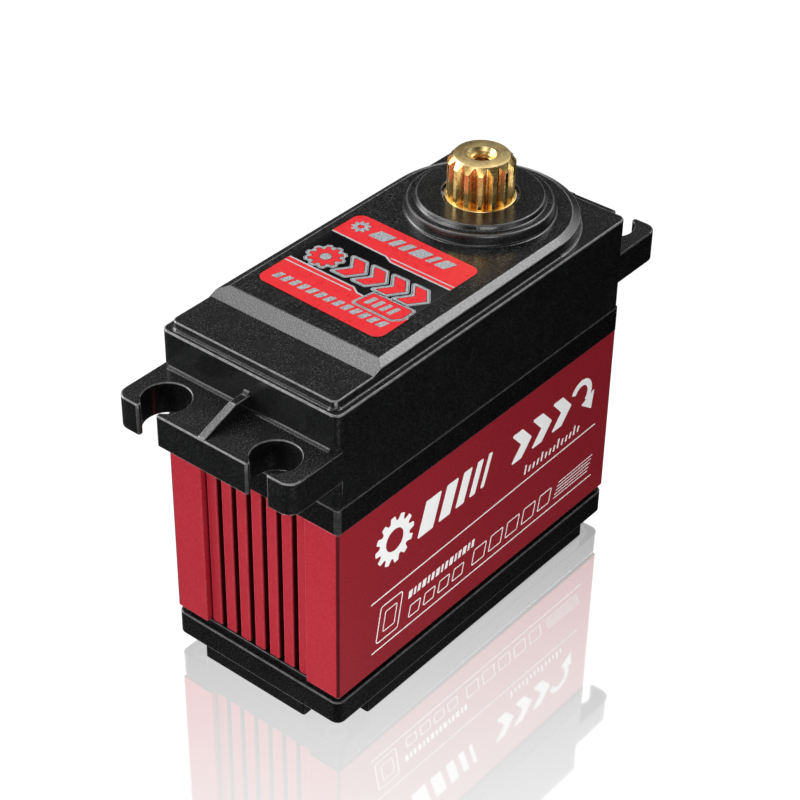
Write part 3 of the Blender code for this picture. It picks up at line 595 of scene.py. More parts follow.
black = moulded("black_plastic_top", (0.0042, 0.0044, 0.0044), rough=0.19, grain=4300.0, depth=0.000019, fleck=0.80, edge_wear_and_glint=0.45)
black_smooth = moulded("black_plastic_cover", (0.0030, 0.0030, 0.0032), rough=0.24, depth=0.000010, fleck=0.30, edge_wear_and_glint=0.20, specular=0.25)
red = anodised("red_anodised_finish", (0.44, 0.0175, 0.034), (0.35, 0.0105, 0.022))
brass = turned_brass("machined_brass", (0.90, 0.62, 0.22), OUT)
rubber = moulded("rubber_finish", (0.016, 0.016, 0.016), rough=0.7, grain=2200.0, fleck=0.2, specular=0.25)
label_black = printed("label_black", (0.0020, 0.0020, 0.0026), rough=0.20, specular=0.18)
label_red = printed("label_red", (0.55, 0.018, 0.023), rough=0.30, specular=0.3)
label_silver = printed("label_silver", (0.20, 0.215, 0.23), rough=0.40, glitter=0.7, metallic=0.2)
label_white = printed("label_white", (0.36, 0.36, 0.375), rough=0.35)
side_white = printed("side_white_ink", (0.93, 0.93, 0.92), rough=0.42, spread=0.04)
dark_steel = metal("dark_steel_finish", (0.10, 0.10, 0.11), rough=0.34)
steel = metal("steel_finish", (0.56, 0.56, 0.58), rough=0.24)
gear_brass = metal("gear_brass_finish", (0.80, 0.56, 0.22), rough=0.26, stretch=(1, 1, 0.1))
copper = metal("copper_winding", (0.72, 0.33, 0.16), rough=0.30, grain=3600.0, stretch=(1, 1, 0.12), depth=0.00003)
magnet = metal("magnet_finish", (0.16, 0.16, 0.17), rough=0.55, metallic=0.4, grain=1800.0)
moulding = moulded("motor_moulding", (0.018, 0.018, 0.020), rough=0.5, grain=3000.0, fleck=0.2)
pot_blue = moulded("sensor_blue", (0.02, 0.06, 0.22), rough=0.4, grain=2600.0, fleck=0.2)
board_green = moulded("board_green", (0.012, 0.10, 0.035), rough=0.35, grain=1500.0, fleck=0.6)
cap_sleeve = moulded("capacitor_sleeve", (0.02, 0.03, 0.09), rough=0.3, grain=1500.0, fleck=0.2)
ivory = moulded("socket_ivory", (0.62, 0.58, 0.48), rough=0.4, grain=2400.0, fleck=0.2)

# ================================================================ bottom cover
cover = pillow("cover_shell", rounded_rect(CASE_X, CASE_Y, 1.25, 10), 2.0, 5.75, 0.25, 0.22, 4)


def foot_outline():
    hx, hy = CASE_X - 0.03, CASE_Y - 0.03
    pts, radii = [], []
    for sx, sy in ((1, 1), (-1, 1), (-1, -1), (1, -1)):
        rx, ry = RELIEF[(sx, sy)]
        corner = [(sx * hx, sy * (hy - ry)), (sx * (hx - rx), sy * (hy - ry)), (sx * (hx - rx), sy * hy)]
        pts += corner if sx * sy > 0 else corner[::-1]
        radii += [0.32, 0.5, 0.32]
    return rounded(pts, radii, 3)


cover_steps = [
    ("UNION", pillow("lip", rounded_rect(CASE_X - 0.70, CASE_Y - 0.70, 0.6), 3.0, 6.62, 0.1, 0.12, 3)),
    ("UNION", pillow("foot", foot_outline(), 0.0, 2.6, 0.2, 0.1, 3)),
    ("DIFFERENCE", pillow("cavity", cross(27.2, 9.0, 24.2, 12.6), 1.6, 9.0, 0.3, 0.0, 3)),
    ("DIFFERENCE", pillow("notch", [(26.0, -3.1), (31.0, -3.1), (31.0, 3.1), (26.0, 3.1)], 3.45, 9.0, 0.0, 0.0)),
]
for sx, sy in CORNERS:
    c = (sx * SCREW_X, sy * SCREW_Y)
    cover_steps.append(("DIFFERENCE", lathe("bore", [(0, 9.0), (1.15, 9.0), (1.15, 3.7), (1.87, 3.7), (1.87, 2.25), (2.1, 1.9), (2.1, 1.0), (0, 1.0)], 32, c)))
combine(cover, *cover_steps)
piece(cover, "case", black_smooth, ["bottom_cover"])

# ============================================================ lead inlet grommet
grommet = pillow("inlet_grommet", [(26.3, -3.0), (30.35, -3.0), (30.35, 3.0), (26.3, 3.0)], 3.55, 6.55, 0.0, 0.25, 3)
outer_flange = rounded([(-3.8, 2.9), (3.8, 2.9), (3.8, 6.6), (-3.8, 6.6)], 0.8, 6)
across = lambda u, v, w: (w, u, v)
bore = arc((1.2, 4.85), 0.62, -math.pi / 2, math.pi / 2, 10) + arc((-1.2, 4.85), 0.62, math.pi / 2, 1.5 * math.pi, 10)
combine(grommet,
        ("UNION", pillow("flange", outer_flange, 29.85, 30.55, 0.1, 0.22, 3, across)),
        ("UNION", pillow("flange", outer_flange, 26.2, 27.1, 0.1, 0.1, 3, across)),
        ("DIFFERENCE", loft("bore", [(bore, 25.0), (bore, 30.1), (inset(anticlockwise(bore), -0.12), 30.4), (inset(anticlockwise(bore), -0.3), 30.7)], across)))
piece(grommet, "case", rubber, ["lead_grommet"])


# ================================================================== middle case
def finned_outline():
    def end(sign):
        half, radii = [], []
        x_face, x_tip = METAL_X, METAL_X - FIN_RECESS
        x_root = x_tip - GROOVE_DEPTH
        half += [(x_face, -FIN_ZONE_Y), (x_root, -FIN_ZONE_Y)]
        radii += [0.14, 0.25]
        first = -FIN_PITCH * (FIN_COUNT - 1) / 2
        for k in range(FIN_COUNT):
            yc = first + k * FIN_PITCH
            half += [(x_root, yc - FIN_W / 2), (x_tip, yc - FIN_W / 2), (x_tip, yc + FIN_W / 2), (x_root, yc + FIN_W / 2)]
            radii += [0.25, 0.17, 0.17, 0.25]
        half += [(x_root, FIN_ZONE_Y), (x_face, FIN_ZONE_Y)]
        radii += [0.25, 0.14]
        return [(sign * x, sign * y) for x, y in half], radii
    a, ra = end(1)
    b, rb = end(-1)
    pts = a + [(METAL_X, METAL_Y), (-METAL_X, METAL_Y)] + b + [(-METAL_X, -METAL_Y), (METAL_X, -METAL_Y)]
    radii = ra + [0.4, 0.4] + rb + [0.4, 0.4]
    return rounded(pts, radii, 4)


middle = pillow("heat_sink_case", finned_outline(), Z_METAL_BOT, Z_METAL_TOP, 0.10, 0.10, 2)
steps = [("DIFFERENCE", loft("cavity", [(cross(26.2, 9.0, 24.2, 12.5), 5.0), (cross(26.2, 9.0, 24.2, 12.5), 36.0)]))]
for sx, sy in CORNERS:
    steps.append(("DIFFERENCE", lathe("bore", [(0, 36.0), (1.15, 36.0), (1.15, 5.0), (0, 5.0)], 24, (sx * SCREW_X, sy * SCREW_Y))))
combine(middle, *steps)
piece(middle, "case", red, ["mid_case"])

# ================================================================= gearbox base
base = pillow("gearbox_plate", rounded_rect(CASE_X, CASE_Y, 0.7, 8), 34.10, 37.95, 0.12, 0.14, 3)
steps = []
for sx, sy in CORNERS:
    steps.append(("DIFFERENCE", lathe("bore", [(0, 39.0), (1.15, 39.0), (1.15, 33.0), (0, 33.0)], 24, (sx * SCREW_X, sy * SCREW_Y))))
steps.append(("DIFFERENCE", lathe("bore", [(0, 39.0), (2.65, 39.0), (2.65, 33.0), (0, 33.0)], 32, MOT)))
for sy in (1, -1):
    steps.append(("DIFFERENCE", lathe("bore", [(0, 39.0), (2.1, 39.0), (2.1, 36.3), (1.1, 36.3), (1.1, 33.0), (0, 33.0)], 24, (MOT[0], sy * 8.2))))
steps.append(("DIFFERENCE", lathe("bore", [(0, 39.0), (6.08, 39.0), (6.08, 34.6), (4.1, 34.6), (4.1, 33.0), (0, 33.0)], 48, OUT)))
for c in ((2.04, 0.0), (-7.023, 4.226)):
    steps.append(("DIFFERENCE", lathe("bore", [(0, 39.0), (1.03, 39.0), (1.03, 35.4), (0, 35.4)], 24, c)))
combine(base, *steps)
piece(base, "case", black_smooth, ["gearbox_base"])

# ===================================================================== top case
top = pillow("top_housing", rounded_rect(CASE_X, CASE_Y, 1.2, 10), 38.0, 52.13, 0.14, 0.24, 4)


def ear_outline():
    gap = math.asin(SLOT_MOUTH / 2 / SLOT_R)
    pts, radii = [], []
    def add(p, r=0.0):
        pts.append(p)
        radii.append(r)
    side = CASE_Y - 0.012
    add((EAR_X, -side), 1.8)
    for s in (-1, 1):
        c = (SLOT_X, s * SLOT_Y)
        add((EAR_X, c[1] - SLOT_MOUTH / 2), 0.32)
        n = 36
        for k in range(n + 1):
            if k in (1, n - 1):
                continue
            a = -gap - k * (2 * math.pi - 2 * gap) / n
            add((c[0] + SLOT_R * math.cos(a), c[1] + SLOT_R * math.sin(a)), 0.32 if k in (0, n) else 0.0)
        add((EAR_X, c[1] + SLOT_MOUTH / 2), 0.32)
    add((EAR_X, side), 1.8)
    return pts + [(-x, -y) for x, y in pts], radii + radii


ear_pts, ear_radii = ear_outline()
ears = rounded(ear_pts, ear_radii, 8, math.radians(20.0))
top_steps = [("UNION", pillow("ears", ears, 42.05, 46.70, 0.15, 0.20, 3))]
for s in (1, -1):
    rib = [(s * 28.0, 45.0), (s * 37.93, 45.0), (s * 37.93, 46.84), (s * 32.3, 48.9), (s * 28.0, 48.9)]
    corner_fill = [(s * 29.0, 46.2), (s * 30.30, 46.2)] + [(s * (30.30 - 0.556 * math.sin(t)), 46.694 + 0.556 * (1 - math.cos(t))) for t in [math.pi / 2 * k / 6 for k in range(7)]] + [(s * 29.0, 47.25)]
    top_steps.append(("UNION", pillow("fillet", corner_fill, -13.30, 13.30, 0.0, 0.0, 3, along_y)))
    rib_fill = [(s * 29.0, 48.4), (s * 30.50, 48.4)] + [(s * (30.50 - 0.757 * math.sin(t)), 48.893 + 0.757 * (1 - math.cos(t))) for t in [math.pi / 2 * k / 6 for k in range(7)]] + [(s * 29.0, 49.645)]
    top_steps.append(("UNION", pillow("fillet", rib_fill, -0.43, 0.43, 0.0, 0.0, 3, along_y)))
    top_steps.append(("UNION", pillow("rib", rounded(rib, [0, 0, 0.22, 0.6, 0], 4), -0.56, 0.56, 0.12, 0.12, 3, along_y)))


def stadium(x0, hy, r, corner, n=36):
    pts = arc((OUT[0], 0.0), r, -math.pi / 2, math.pi / 2, n)
    pts += arc((x0 + corner, hy - corner), corner, math.pi / 2, math.pi, 8)
    pts += arc((x0 + corner, -hy + corner), corner, math.pi, 1.5 * math.pi, 8)
    return pts


outer = stadium(-28.92, 13.44, 13.44, 1.0)
inner = stadium(-28.92 + 1.32, 12.12, 12.32, 0.6)
lower = pillow("lower_step", outer, 51.0, 53.35, 0.0, 0.20, 3)
flare = loft("flare", [(inset(outer, -0.34), 51.6), (inset(outer, -0.34), 52.14), (inset(outer, -0.20), 52.165), (inset(outer, -0.10), 52.22),
                       (inset(outer, -0.03), 52.33), (inset(outer, 0.003), 52.48)])
combine(flare, ("DIFFERENCE", loft("trim", [([(29.49, -9.0), (32.0, -9.0), (32.0, 9.0), (29.49, 9.0)], 51.0), ([(29.49, -9.0), (32.0, -9.0), (32.0, 9.0), (29.49, 9.0)], 53.0)])))
upper = loft("upper_step", [(inset(outer, 0.004), 51.3), (inset(outer, 0.004), 53.76), (inset(outer, 0.03), 53.81), (inset(outer, 0.10), 53.86),
                            (inset(inner, -0.12), 54.262), (inset(inner, -0.04), 54.292), (inset(inner, 0.06), 54.30)])
ramp_cut = loft("ramp_cut", [([(-40.0, 53.2), (-22.15, 53.2), (-21.92, 53.315), (-19.52, 54.265), (-19.36, 54.296), (-18.0, 54.31), (-18.0, 56.0), (-40.0, 56.0)], -20.0),
                             ([(-40.0, 53.2), (-22.15, 53.2), (-21.92, 53.315), (-19.52, 54.265), (-19.36, 54.296), (-18.0, 54.31), (-18.0, 56.0), (-40.0, 56.0)], 20.0)], along_y)
combine(upper, ("DIFFERENCE", ramp_cut))


def boss_profile():
    p = [(0.0, 53.0), (10.38, 53.0), (10.38, 54.305), (10.24, 54.33), (10.12, 54.40), (10.05, 54.52)]
    p += [(10.02, 54.60), (9.93, 55.62), (9.88, 55.79), (9.76, 55.88), (9.62, 55.90), (9.00, 55.90), (8.86, 55.91), (8.76, 55.96),
          (8.70, 56.06), (8.66, 56.42), (8.61, 56.55), (8.52, 56.62), (8.40, 56.65), (0.0, 56.65)]
    return p


boss = lathe("boss", boss_profile(), 128, OUT)
top_steps += [("UNION", flare), ("UNION", lower), ("UNION", upper), ("UNION", boss),
              ("DIFFERENCE", pillow("chamber", cross(27.6, 9.6, 24.9, 12.85), 30.0, 51.0, 0.0, 0.4, 2)),
              ("DIFFERENCE", lathe("bore", [(0, 60.0), (5.55, 60.0), (5.55, 56.75), (5.40, 56.68), (5.24, 56.60), (5.16, 56.45), (5.16, 55.65), (7.55, 55.65), (7.55, 45.0), (0, 45.0)], 96, OUT))]
for c in ((2.04, 0.0), (-7.023, 4.226)):
    top_steps.append(("DIFFERENCE", lathe("bore", [(0, 53.0), (1.03, 53.0), (1.03, 45.0), (0, 45.0)], 24, c)))
for sx, sy in CORNERS:
    top_steps.append(("DIFFERENCE", lathe("bore", [(0, 44.2), (1.1, 44.2), (1.1, 30.0), (0, 30.0)], 24, (sx * SCREW_X, sy * SCREW_Y))))
combine(top, *top_steps)
piece(top, "case", black, ["top_case"], angle=30.0)

# ================================================================= case screws
for k, (sx, sy) in enumerate(CORNERS):
    c = (sx * SCREW_X, sy * SCREW_Y)
    thread = [(0.0, 43.6), (0.5, 43.6), (0.82, 43.3)]
    z = 43.2
    while z > 37.0:
        thread += [(1.0, z), (0.84, z - 0.25)]
        z -= 0.5
    screw = lathe("cap_screw_%d" % (k + 1), thread + [(0.95, 36.6), (0.95, 3.6), (1.70, 3.6), (HEAD_R, 3.5), (HEAD_R, 2.55), (1.70, 2.40), (1.5, 2.25), (0.0, 2.25)], 40, c)
    combine(screw, ("DIFFERENCE", loft("socket", [(circle(0.92, 6, c), 1.0), (circle(0.92, 6, c), 2.26), (circle(0.85, 6, c), 2.4), (circle(0.85, 6, c), 3.1)])))
    piece(screw, "case", dark_steel, ["case_screw_%d" % (k + 1)])


# ================================================================ output shaft
def spline_outline(teeth=15, r_tip=4.55, r_root=3.85):
    pts, radii = [], []
    for t in range(teeth):
        c = 2 * math.pi * t / teeth
        p = math.pi / teeth
        for r, f, rad in ((r_root, -0.86, 0.09), (r_tip, -0.30, 0.07), (r_tip, 0.30, 0.07), (r_root, 0.86, 0.09)):
            pts.append((OUT[0] + r * math.cos(c + f * p), OUT[1] + r * math.sin(c + f * p)))
            radii.append(rad)
    return rounded(pts, radii, 3, math.radians(8.0))


shaft = lathe("splined_shaft",
              [(0.0, 56.44), (4.70, 56.44), (4.80, 56.41), (4.86, 56.32), (4.86, 51.0), (4.4, 50.85), (4.4, 47.7), (4.86, 47.6), (4.86, 46.6),
               (3.8, 46.4), (3.8, 38.15), (2.94, 38.05), (2.94, 34.3), (0.0, 34.3)], 96, OUT)
spline = loft("spline", [(spline_outline(), 55.8), (spline_outline(), 62.9)])
combine(spline, ("INTERSECT", lathe("envelope", [(0.0, 62.45), (3.62, 62.45), (3.70, 62.43), (3.76, 62.38), (4.52, 61.51), (4.58, 61.40), (4.60, 61.2), (4.60, 50.0), (0.0, 50.0)], 120, OUT)))
thread = [(0.0, 63.1), (2.45, 63.1), (2.42, 62.9), (1.95, 62.46), (1.82, 62.34), (1.50, 61.98)]
z = 61.9
while z > 56.0:
    thread += [(1.52, z), (1.24, z - 0.22), (1.24, z - 0.28)]
    z -= 0.5
thread += [(1.24, 53.0), (0.0, 52.3)]
socket_loop = arc(OUT, 1.65, math.acos(1.12 / 1.65), 2 * math.pi - math.acos(1.12 / 1.65), 24)
combine(shaft, ("UNION", spline), ("DIFFERENCE", lathe("horn_hole", thread, 64, OUT)),
        ("DIFFERENCE", loft("socket", [(socket_loop, 30.0), (socket_loop, 38.0)])))
piece(shaft, "output", brass, ["output_shaft"], angle=24.0)

# =================================================================== top label
LABEL = [(-16.75, -9.75), (3.75, -9.85), (4.35, 10.95), (-16.05, 11.05)]
Z_FILM = 54.40


def on_label(u, v, w):
    """u runs the reading way, toward -y, and v up the label, toward +x."""
    return (v, -u, w)


film = pillow("label_film", rounded(LABEL, 1.4, 10), 54.31, Z_FILM, 0.0, 0.03, 2)
piece(film, "case", label_black, ["top_label"], weighted=False)


def flat_group(name, groups, place, w0, w1, mat, body="case"):
    obj = prism(name, [[anticlockwise(g[0])] + [anticlockwise(h)[::-1] for h in g[1:]] for g in groups], place, w0, w1)
    piece(obj, body, mat, weighted=False)
    return obj


near_band = [(9.72, -16.72), (9.77, -10.98), (1.10, -10.55), (0.0, -9.82), (-10.98, -9.62), (-11.02, -16.08)]
far_band = [(9.66, -2.50), (9.82, 3.72), (-10.92, 4.32), (-10.96, -1.28), (-1.54, -1.66), (-0.2, -2.36)]
flat_group("label_band_near", [[rounded(near_band, [1.38, 0.05, 0.3, 0.3, 0.05, 1.38], 8)]], on_label, Z_FILM - 0.01, Z_FILM + 0.022, label_red)
flat_group("label_band_far", [[rounded(far_band, [0.05, 1.38, 1.38, 0.05, 0.3, 0.3], 8)]], on_label, Z_FILM - 0.01, Z_FILM + 0.022, label_red)
lines = [
    [strip([(-10.95, -9.62), (0.0, -9.82), (1.10, -10.55), (9.74, -10.98)], 0.24)],
    [strip([(-10.97, -10.52), (0.25, -10.62)], 0.20)],
    [strip([(-10.93, -1.28), (-1.54, -1.66), (-0.2, -2.36), (9.62, -2.50)], 0.24)],
    [strip([(-0.75, -1.60), (9.66, -1.72)], 0.20)],
]
flat_group("label_lines", lines, on_label, Z_FILM + 0.012, Z_FILM + 0.036, label_white)

badge_shapes = [cog((-7.35, -6.75), 2.35, 1.80, 10, 0.2)]
badge_shapes += [chevron(-4.3 + 3.35 * k, -6.55 + 0.02 * k, 1.75, 1.95, 1.45) for k in range(3)]
badge_shapes.append(slanted(5.9, 7.75, -8.45, -4.65, 0.0))
badge_shapes[-1] = [(5.75, -8.45), (7.55, -8.45), (9.0, -6.5), (7.55, -4.6), (5.75, -4.6), (7.2, -6.5)]
plate_shape = [(2.3, -12.35), (8.3, -12.35), (9.1, -11.4), (9.1, -9.3), (2.9, -9.3)]
def grown(shape, d, r):
    return rounded(inset(anticlockwise(shape), -d), r, 4)


def badge(d, r):
    return [[rounded(cog((-7.35, -6.75), 2.35 + d, 2.00 + d, 10, 0.2), 0.12, 3)]] + [[grown(s, d, r)] for s in badge_shapes[1:]]


flat_group("label_badge_rim", badge(0.50, 0.4) + [[grown(plate_shape, 0.42, 0.5)]], on_label, Z_FILM + 0.018, Z_FILM + 0.038, label_white)
flat_group("label_badge_shade", badge(0.43, 0.36) + [[grown(plate_shape, 0.34, 0.45)]], on_label, Z_FILM + 0.026, Z_FILM + 0.044, label_black)
flat_group("label_badge_edge", badge(0.37, 0.3) + [[grown(plate_shape, 0.28, 0.4)]], on_label, Z_FILM + 0.030, Z_FILM + 0.050, label_silver)
flat_group("label_badge_line", [[rounded(badge_shapes[0], 0.12, 3), circle(0.77, 28, (-7.35, -6.75))]] + [[grown(s, 0.05, 0.15)] for s in badge_shapes[1:]]
           + [[grown(plate_shape, 0.06, 0.35)]], on_label, Z_FILM + 0.040, Z_FILM + 0.056, label_black)
flat_group("label_badge_fill", [[grown(badge_shapes[0], -0.06, 0.12), circle(0.85, 28, (-7.35, -6.75))]] + [[grown(s, -0.02, 0.13)] for s in badge_shapes[1:]]
           + [[rounded(plate_shape, 0.35, 4)]], on_label, Z_FILM + 0.046, Z_FILM + 0.062, label_red)
marks = [[rounded(slanted(3.15 + 1.22 * k, 3.85 + 1.22 * k, -11.75, -9.95, 0.35), 0.08, 2)] for k in range(4)]
marks += [[rounded(cog((-8.6, 1.75), 1.35, 1.0, 9), 0.08, 2), circle(0.48, 20, (-8.6, 1.75))]]
u = -6.6
for w in (2.6, 1.1, 1.1, 2.2, 0.8, 1.7):
    marks.append([rounded(slanted(u, u + w, 0.75, 2.65, 0.75), 0.12, 2)])
    u += w + 0.62
flat_group("label_marks", marks, on_label, Z_FILM + 0.016, Z_FILM + 0.068, label_silver)
dashes, u = [], -9.7
for k in range(13):
    dashes.append([rounded(slanted(u, u + 0.92, -14.55, -13.15, 0.42), 0.06, 2)])
    u += 1.42
flat_group("label_dashes", dashes, on_label, Z_FILM + 0.014, Z_FILM + 0.034, label_silver)


# ================================================================ side printing
def on_side(u, v, w):
    """Drawn in x and z on the flat side of the middle case; w grows outward."""
    return (u, -METAL_Y - w, v)


W0, W1 = -0.012, 0.022
flat_group("side_rules", [[strip([(-23.2, 18.50), (26.2, 19.55)], 0.20)], [strip([(-23.0, 9.90), (26.2, 10.38)], 0.20)]], on_side, W0, W1, side_white)
emblem = [[rounded(cog((-18.6, 26.6), 3.85, 3.0, 12, 0.1), 0.15, 3), circle(1.75, 40, (-18.6, 26.6))]]
u = -14.0
for w, h in ((3.2, 5.2), (2.4, 5.2), (1.8, 5.2), (1.25, 5.2), (0.8, 5.2)):
    emblem.append([rounded(slanted(u, u + w, 23.7 + 0.02 * (u + 14), 23.7 + h, 1.75), 0.22, 3)])
    u += w + 1.15
for k in range(3):
    emblem.append([rounded(chevron(6.0 + 4.6 * k, 26.3 + 0.1 * k, 2.4, 2.45, 2.2), 0.2, 3)])
flat_group("side_emblem", emblem, on_side, W0, W1, side_white)
sweep = arc((22.1, 26.9), 2.50, math.radians(-50), math.radians(158), 32) + arc((22.1, 26.9), 1.50, math.radians(158), math.radians(-50), 32)
flat_group("side_arrow", [[sweep]], on_side, W0, W1 + 0.004, side_white)
flat_group("side_arrow_head", [[rounded([(24.8, 23.1), (25.3, 26.2), (22.3, 24.9)], 0.1, 2)]], on_side, W0, W1 + 0.009, side_white)
ticks, u = [], 9.3
for k in range(14):
    h = 1.5 if k % 4 == 0 else 0.95
    ticks.append([slanted(u, u + 0.34, 20.35 + 0.02 * k, 20.35 + 0.02 * k + h, 0.25)])
    u += 0.95
u = -15.6
for k in range(15):
    w = (0.72, 0.40, 0.55)[k % 3]
    ticks.append([slanted(u, u + w, 14.55 + 0.01 * k, 15.75 + 0.01 * k, 0.25)])
    u += w + 0.40
flat_group("side_ticks", ticks, on_side, W0, W1, side_white)
frames = []


def outlined(loop, t=0.17, r=0.25):
    loop = rounded(anticlockwise(loop), r, 3)
    return [loop, inset(loop, t)]


frames.append(outlined(slanted(-22.3, -17.7, 11.0, 16.9, 1.1), 0.18, 0.5))
frames.append(outlined(slanted(-20.9, -18.4, 12.3, 15.6, 0.62), 0.15, 0.3))
for k in range(4):
    frames.append(outlined(slanted(-15.6 + 3.1 * k, -13.3 + 3.1 * k, 11.15 + 0.05 * k, 13.15 + 0.05 * k, 0.45)))
for k in range(5):
    frames.append(outlined(slanted(-2.0 + 3.75 * k, 0.85 + 3.75 * k, 11.3 + 0.04 * k, 13.9 + 0.04 * k, 0.55)))
flat_group("side_frames", frames, on_side, W0, W1, side_white)
stripes = [[strip([(16.9 + 0.28 * k, 11.6 + 0.56 * k), (25.2 + 0.25 * k, 11.66 + 0.60 * k)], 0.15)] for k in range(5)]
flat_group("side_stripes", stripes, on_side, W0, W1, side_white)

# =============================================================== inside finishes
finishes = {
    "steel": ["upper_bearing_outer", "lower_bearing_outer", "upper_bearing_inner", "lower_bearing_inner", "gear_pin_a", "gear_pin_b",
              "motor_can", "pot_shaft", "output_gear", "gear_1_pinion", "gear_2_pinion", "gear_3_pinion", "motor_shaft"],
}
by_slot = {"steel": steel, "brass": gear_brass, "dark_steel": dark_steel, "magnet": magnet, "copper": copper, "moulding": moulding,
           "pot_blue": pot_blue, "board_green": board_green, "cap_sleeve": cap_sleeve, "ivory": ivory, "rubber": rubber,
           "black_plastic": black, "red_anodised": red, "label": label_red}
node_slot = {}
for m in frame["record"]["materials"]:
    for n in m.get("nodes", []):
        node_slot[n] = m["slot"]
for n, obj in frame["nodes"].items():
    mat = by_slot.get(node_slot.get(n, "steel"), steel)
    obj.data.materials.clear()
    obj.data.materials.append(mat)

# ======================================================================== stage
floor_bm = bmesh.new()
bmesh.ops.create_grid(floor_bm, x_segments=1, y_segments=1, size=4.0)
floor = new_object("studio_floor", floor_bm)
floor.location.z = -0.00005
fm = bpy.data.materials.new("studio_floor")
fm.use_nodes = True
nt = fm.node_tree
nt.nodes.clear()
out = nt.nodes.new("ShaderNodeOutputMaterial")
em = nt.nodes.new("ShaderNodeEmission")
em.inputs[0].default_value = (1, 1, 1, 1)
em.inputs[1].default_value = 1.0
gl = nt.nodes.new("ShaderNodeBsdfGlossy")
gl.inputs["Color"].default_value = (1, 1, 1, 1)
gl.inputs["Roughness"].default_value = 0.04
mx = nt.nodes.new("ShaderNodeMixShader")
nt.links.new(em.outputs[0], mx.inputs[1])
nt.links.new(gl.outputs[0], mx.inputs[2])
nt.links.new(mx.outputs[0], out.inputs[0])
geo = nt.nodes.new("ShaderNodeTexCoord")
sep = nt.nodes.new("ShaderNodeSeparateXYZ")
nt.links.new(geo.outputs["Object"], sep.inputs[0])
across_floor = math_node(nt, "ADD", math_node(nt, "MULTIPLY", sep.outputs[0], 0.779), math_node(nt, "MULTIPLY", sep.outputs[1], 0.627))
nt.links.new(remap(nt, across_floor, 0.0, 0.62, -0.075, 0.012), mx.inputs[0])
floor.data.materials.append(fm)
floor.visible_diffuse = False
floor.visible_glossy = False
floor.visible_shadow = False


def area_light(name, at, aim, size, power, size_y=None, colour=(1, 1, 1)):
    d = bpy.data.lights.new(name, "AREA")
    d.energy = power
    d.size = size
    d.color = colour
    if size_y:
        d.shape = "RECTANGLE"
        d.size_y = size_y
    o = bpy.data.objects.new(name, d)
    bpy.context.scene.collection.objects.link(o)
    o.location = at
    o.rotation_mode = "QUATERNION"
    o.rotation_quaternion = (Vector(aim) - Vector(at)).to_track_quat("-Z", "Y")
    return o


def radiance_power(radiance, sx, sy):
    return radiance * math.pi * sx * sy


# a wide even glow that only the floor reflects
floor_set = bpy.data.collections.new("floor_receives")
floor_set.objects.link(floor)
glow = area_light("floor_glow", (0, 0, 1.0), (0, 0, 0), 12.0, radiance_power(1.0, 12.0, 12.0))
glow.light_linking.receiver_collection = floor_set
glow.visible_camera = False
glow.data.use_shadow = False

# a small reflector low in front of the long side
for k, (at, aim, radiance) in enumerate([((-0.075, -0.105, 0.03), (-0.02, -0.014, 0.025), 5.8)]):
    area_light("reflector_%d" % (k + 1), at, aim, 0.07, radiance_power(radiance, 0.07, 0.07))

# soft lamps round the object, each a lobe of the sky: direction, tightness, strength
SOFT_LAMPS = [
    (( 0.15,  0.45,  0.88),  80,  9.47),
    ((-0.37,  0.93, -0.07),  32,  5.92),
    (( 0.63, -0.05,  0.78), 100,  5.42),
    ((-0.02,  0.31, -0.95),  32,  5.15),
    ((-0.96,  0.27, -0.04),  32,  5.08),
    ((-0.37,  0.82,  0.43),  32,  5.06),
    ((-0.28,  0.93,  0.24),  32,  4.71),
    (( 0.20, -0.20, -0.96),  32,  4.05),
    ((-0.48,  0.87,  0.12),  32,  3.82),
    (( 0.59, -0.08,  0.81),  32,  3.69),
    ((-0.88,  0.47,  0.08),  32,  3.48),
    ((-0.17,  0.82,  0.55),  32,  2.97),
    ((-0.98,  0.14,  0.15),  32,  2.68),
    ((-0.67, -0.56,  0.49),  32,  2.62),
    ((-0.16,  0.99,  0.05),  32,  2.12),
    ((-0.06,  0.08, -0.99),  32,  2.06),
    ((-0.01, -1.00,  0.01),  32,  1.70),
    (( 0.87, -0.04,  0.49),  32,  1.63),
    ((-0.54, -0.02,  0.84),  32,  1.56),
    (( 0.16,  0.14, -0.98),  32,  1.48),
    (( 0.47,  0.10,  0.88),  32,  1.42),
    ((-0.71, -0.36,  0.60),  32,  1.41),
    ((-0.67,  0.75,  0.01),  32,  1.31),
    (( 0.36,  0.05, -0.93),  32,  1.13),
    (( 0.00,  0.74,  0.67),  32,  1.13),
    (( 0.80,  0.48, -0.36),  32,  1.12),
    (( 0.43, -0.86,  0.28),  32,  0.97),
    (( 0.14,  0.60,  0.79),  32,  0.95),
    ((-0.90,  0.34,  0.27),  32,  0.90),
    (( 0.72,  0.06,  0.69),  32,  0.87),
    (( 0.76, -0.21,  0.61),  32,  0.85),
    (( 0.26,  0.17,  0.95),  32,  0.78),
    ((-0.76,  0.07,  0.65),  32,  0.60),
    (( 0.18,  0.39,  0.91),  32,  0.55),
    ((-0.07,  0.93,  0.36),  32,  0.32),
    (( 0.43,  0.81,  0.41),  32,  0.32),
]
world = bpy.data.worlds.new("studio")
bpy.context.scene.world = world
world.use_nodes = True
nt = world.node_tree
nt.nodes.clear()
wout = nt.nodes.new("ShaderNodeOutputWorld")
studio = nt.nodes.new("ShaderNodeBackground")
white = nt.nodes.new("ShaderNodeBackground")
white.inputs[0].default_value = (1, 1, 1, 1)
white.inputs[1].default_value = 1.0
tc = nt.nodes.new("ShaderNodeTexCoord")
sep = nt.nodes.new("ShaderNodeSeparateXYZ")
nt.links.new(tc.outputs["Generated"], sep.inputs[0])
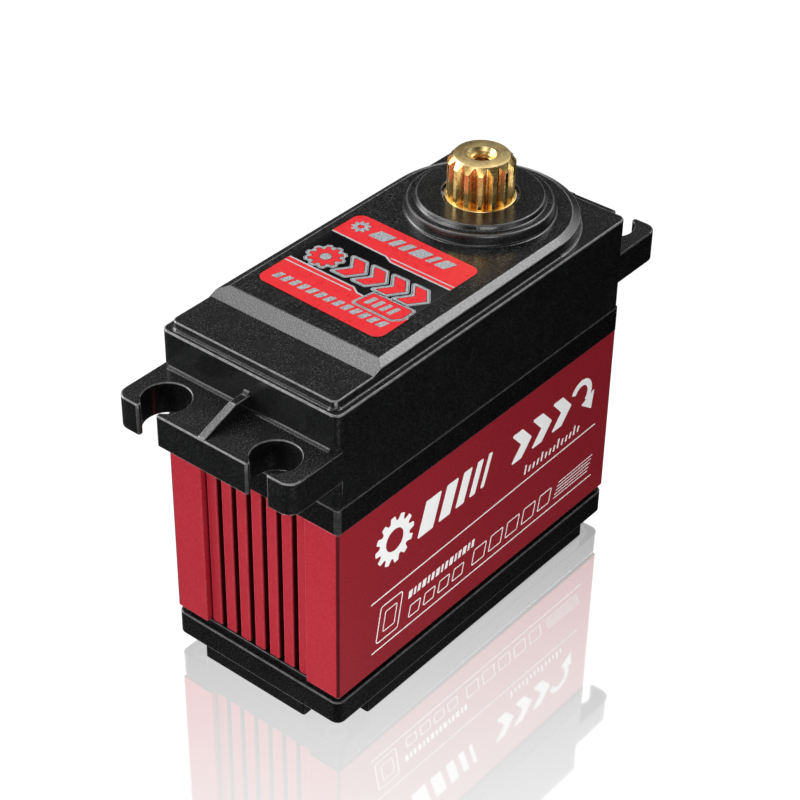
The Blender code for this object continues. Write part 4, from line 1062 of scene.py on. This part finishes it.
total = math_node(nt, "MULTIPLY", math_node(nt, "MAXIMUM", sep.outputs[2], 0.0), 0.02)
for direction, tight, strength in SOFT_LAMPS:
    dot = nt.nodes.new("ShaderNodeVectorMath")
    dot.operation = "DOT_PRODUCT"
    nt.links.new(tc.outputs["Generated"], dot.inputs[0])
    dot.inputs[1].default_value = Vector(direction).normalized()
    lobe = math_node(nt, "EXPONENT", math_node(nt, "MULTIPLY", math_node(nt, "SUBTRACT", dot.outputs["Value"], 1.0), float(tight)))
    total = math_node(nt, "ADD", total, math_node(nt, "MULTIPLY", lobe, strength))
nt.links.new(total, studio.inputs[1])
studio.inputs[0].default_value = (1, 1, 1, 1)
path = nt.nodes.new("ShaderNodeLightPath")
wm = nt.nodes.new("ShaderNodeMixShader")
nt.links.new(path.outputs["Is Camera Ray"], wm.inputs[0])
nt.links.new(studio.outputs[0], wm.inputs[1])
nt.links.new(white.outputs[0], wm.inputs[2])
nt.links.new(wm.outputs[0], wout.inputs[0])

# ======================================================================= camera
az, el, roll = math.radians(-51.149), math.radians(36.143), math.radians(1.014)
back = Vector((math.sin(az) * math.cos(el), -math.cos(az) * math.cos(el), math.sin(el)))
right = Vector((math.cos(az), math.sin(az), 0.0))
up = back.cross(right)
cx = right * math.cos(roll) + up * math.sin(roll)
cy = -right * math.sin(roll) + up * math.cos(roll)
cam_data = bpy.data.cameras.new("camera")
cam_data.lens = 2135.433 * 36.0 / 800.0
cam_data.sensor_width = 36.0
cam_data.clip_start = 0.01
cam_data.clip_end = 20.0
cam = bpy.data.objects.new("camera", cam_data)
bpy.context.scene.collection.objects.link(cam)
at = Vector((2.2748, 1.9811, 29.2265)) * MM + back * 291.226 * MM
cam.matrix_world = Matrix(((cx.x, cy.x, back.x, at.x), (cx.y, cy.y, back.y, at.y), (cx.z, cy.z, back.z, at.z), (0, 0, 0, 1)))
bpy.context.scene.camera = cam
bpy.context.scene.view_settings.view_transform = "Standard"
bpy.context.scene.view_settings.look = "None"
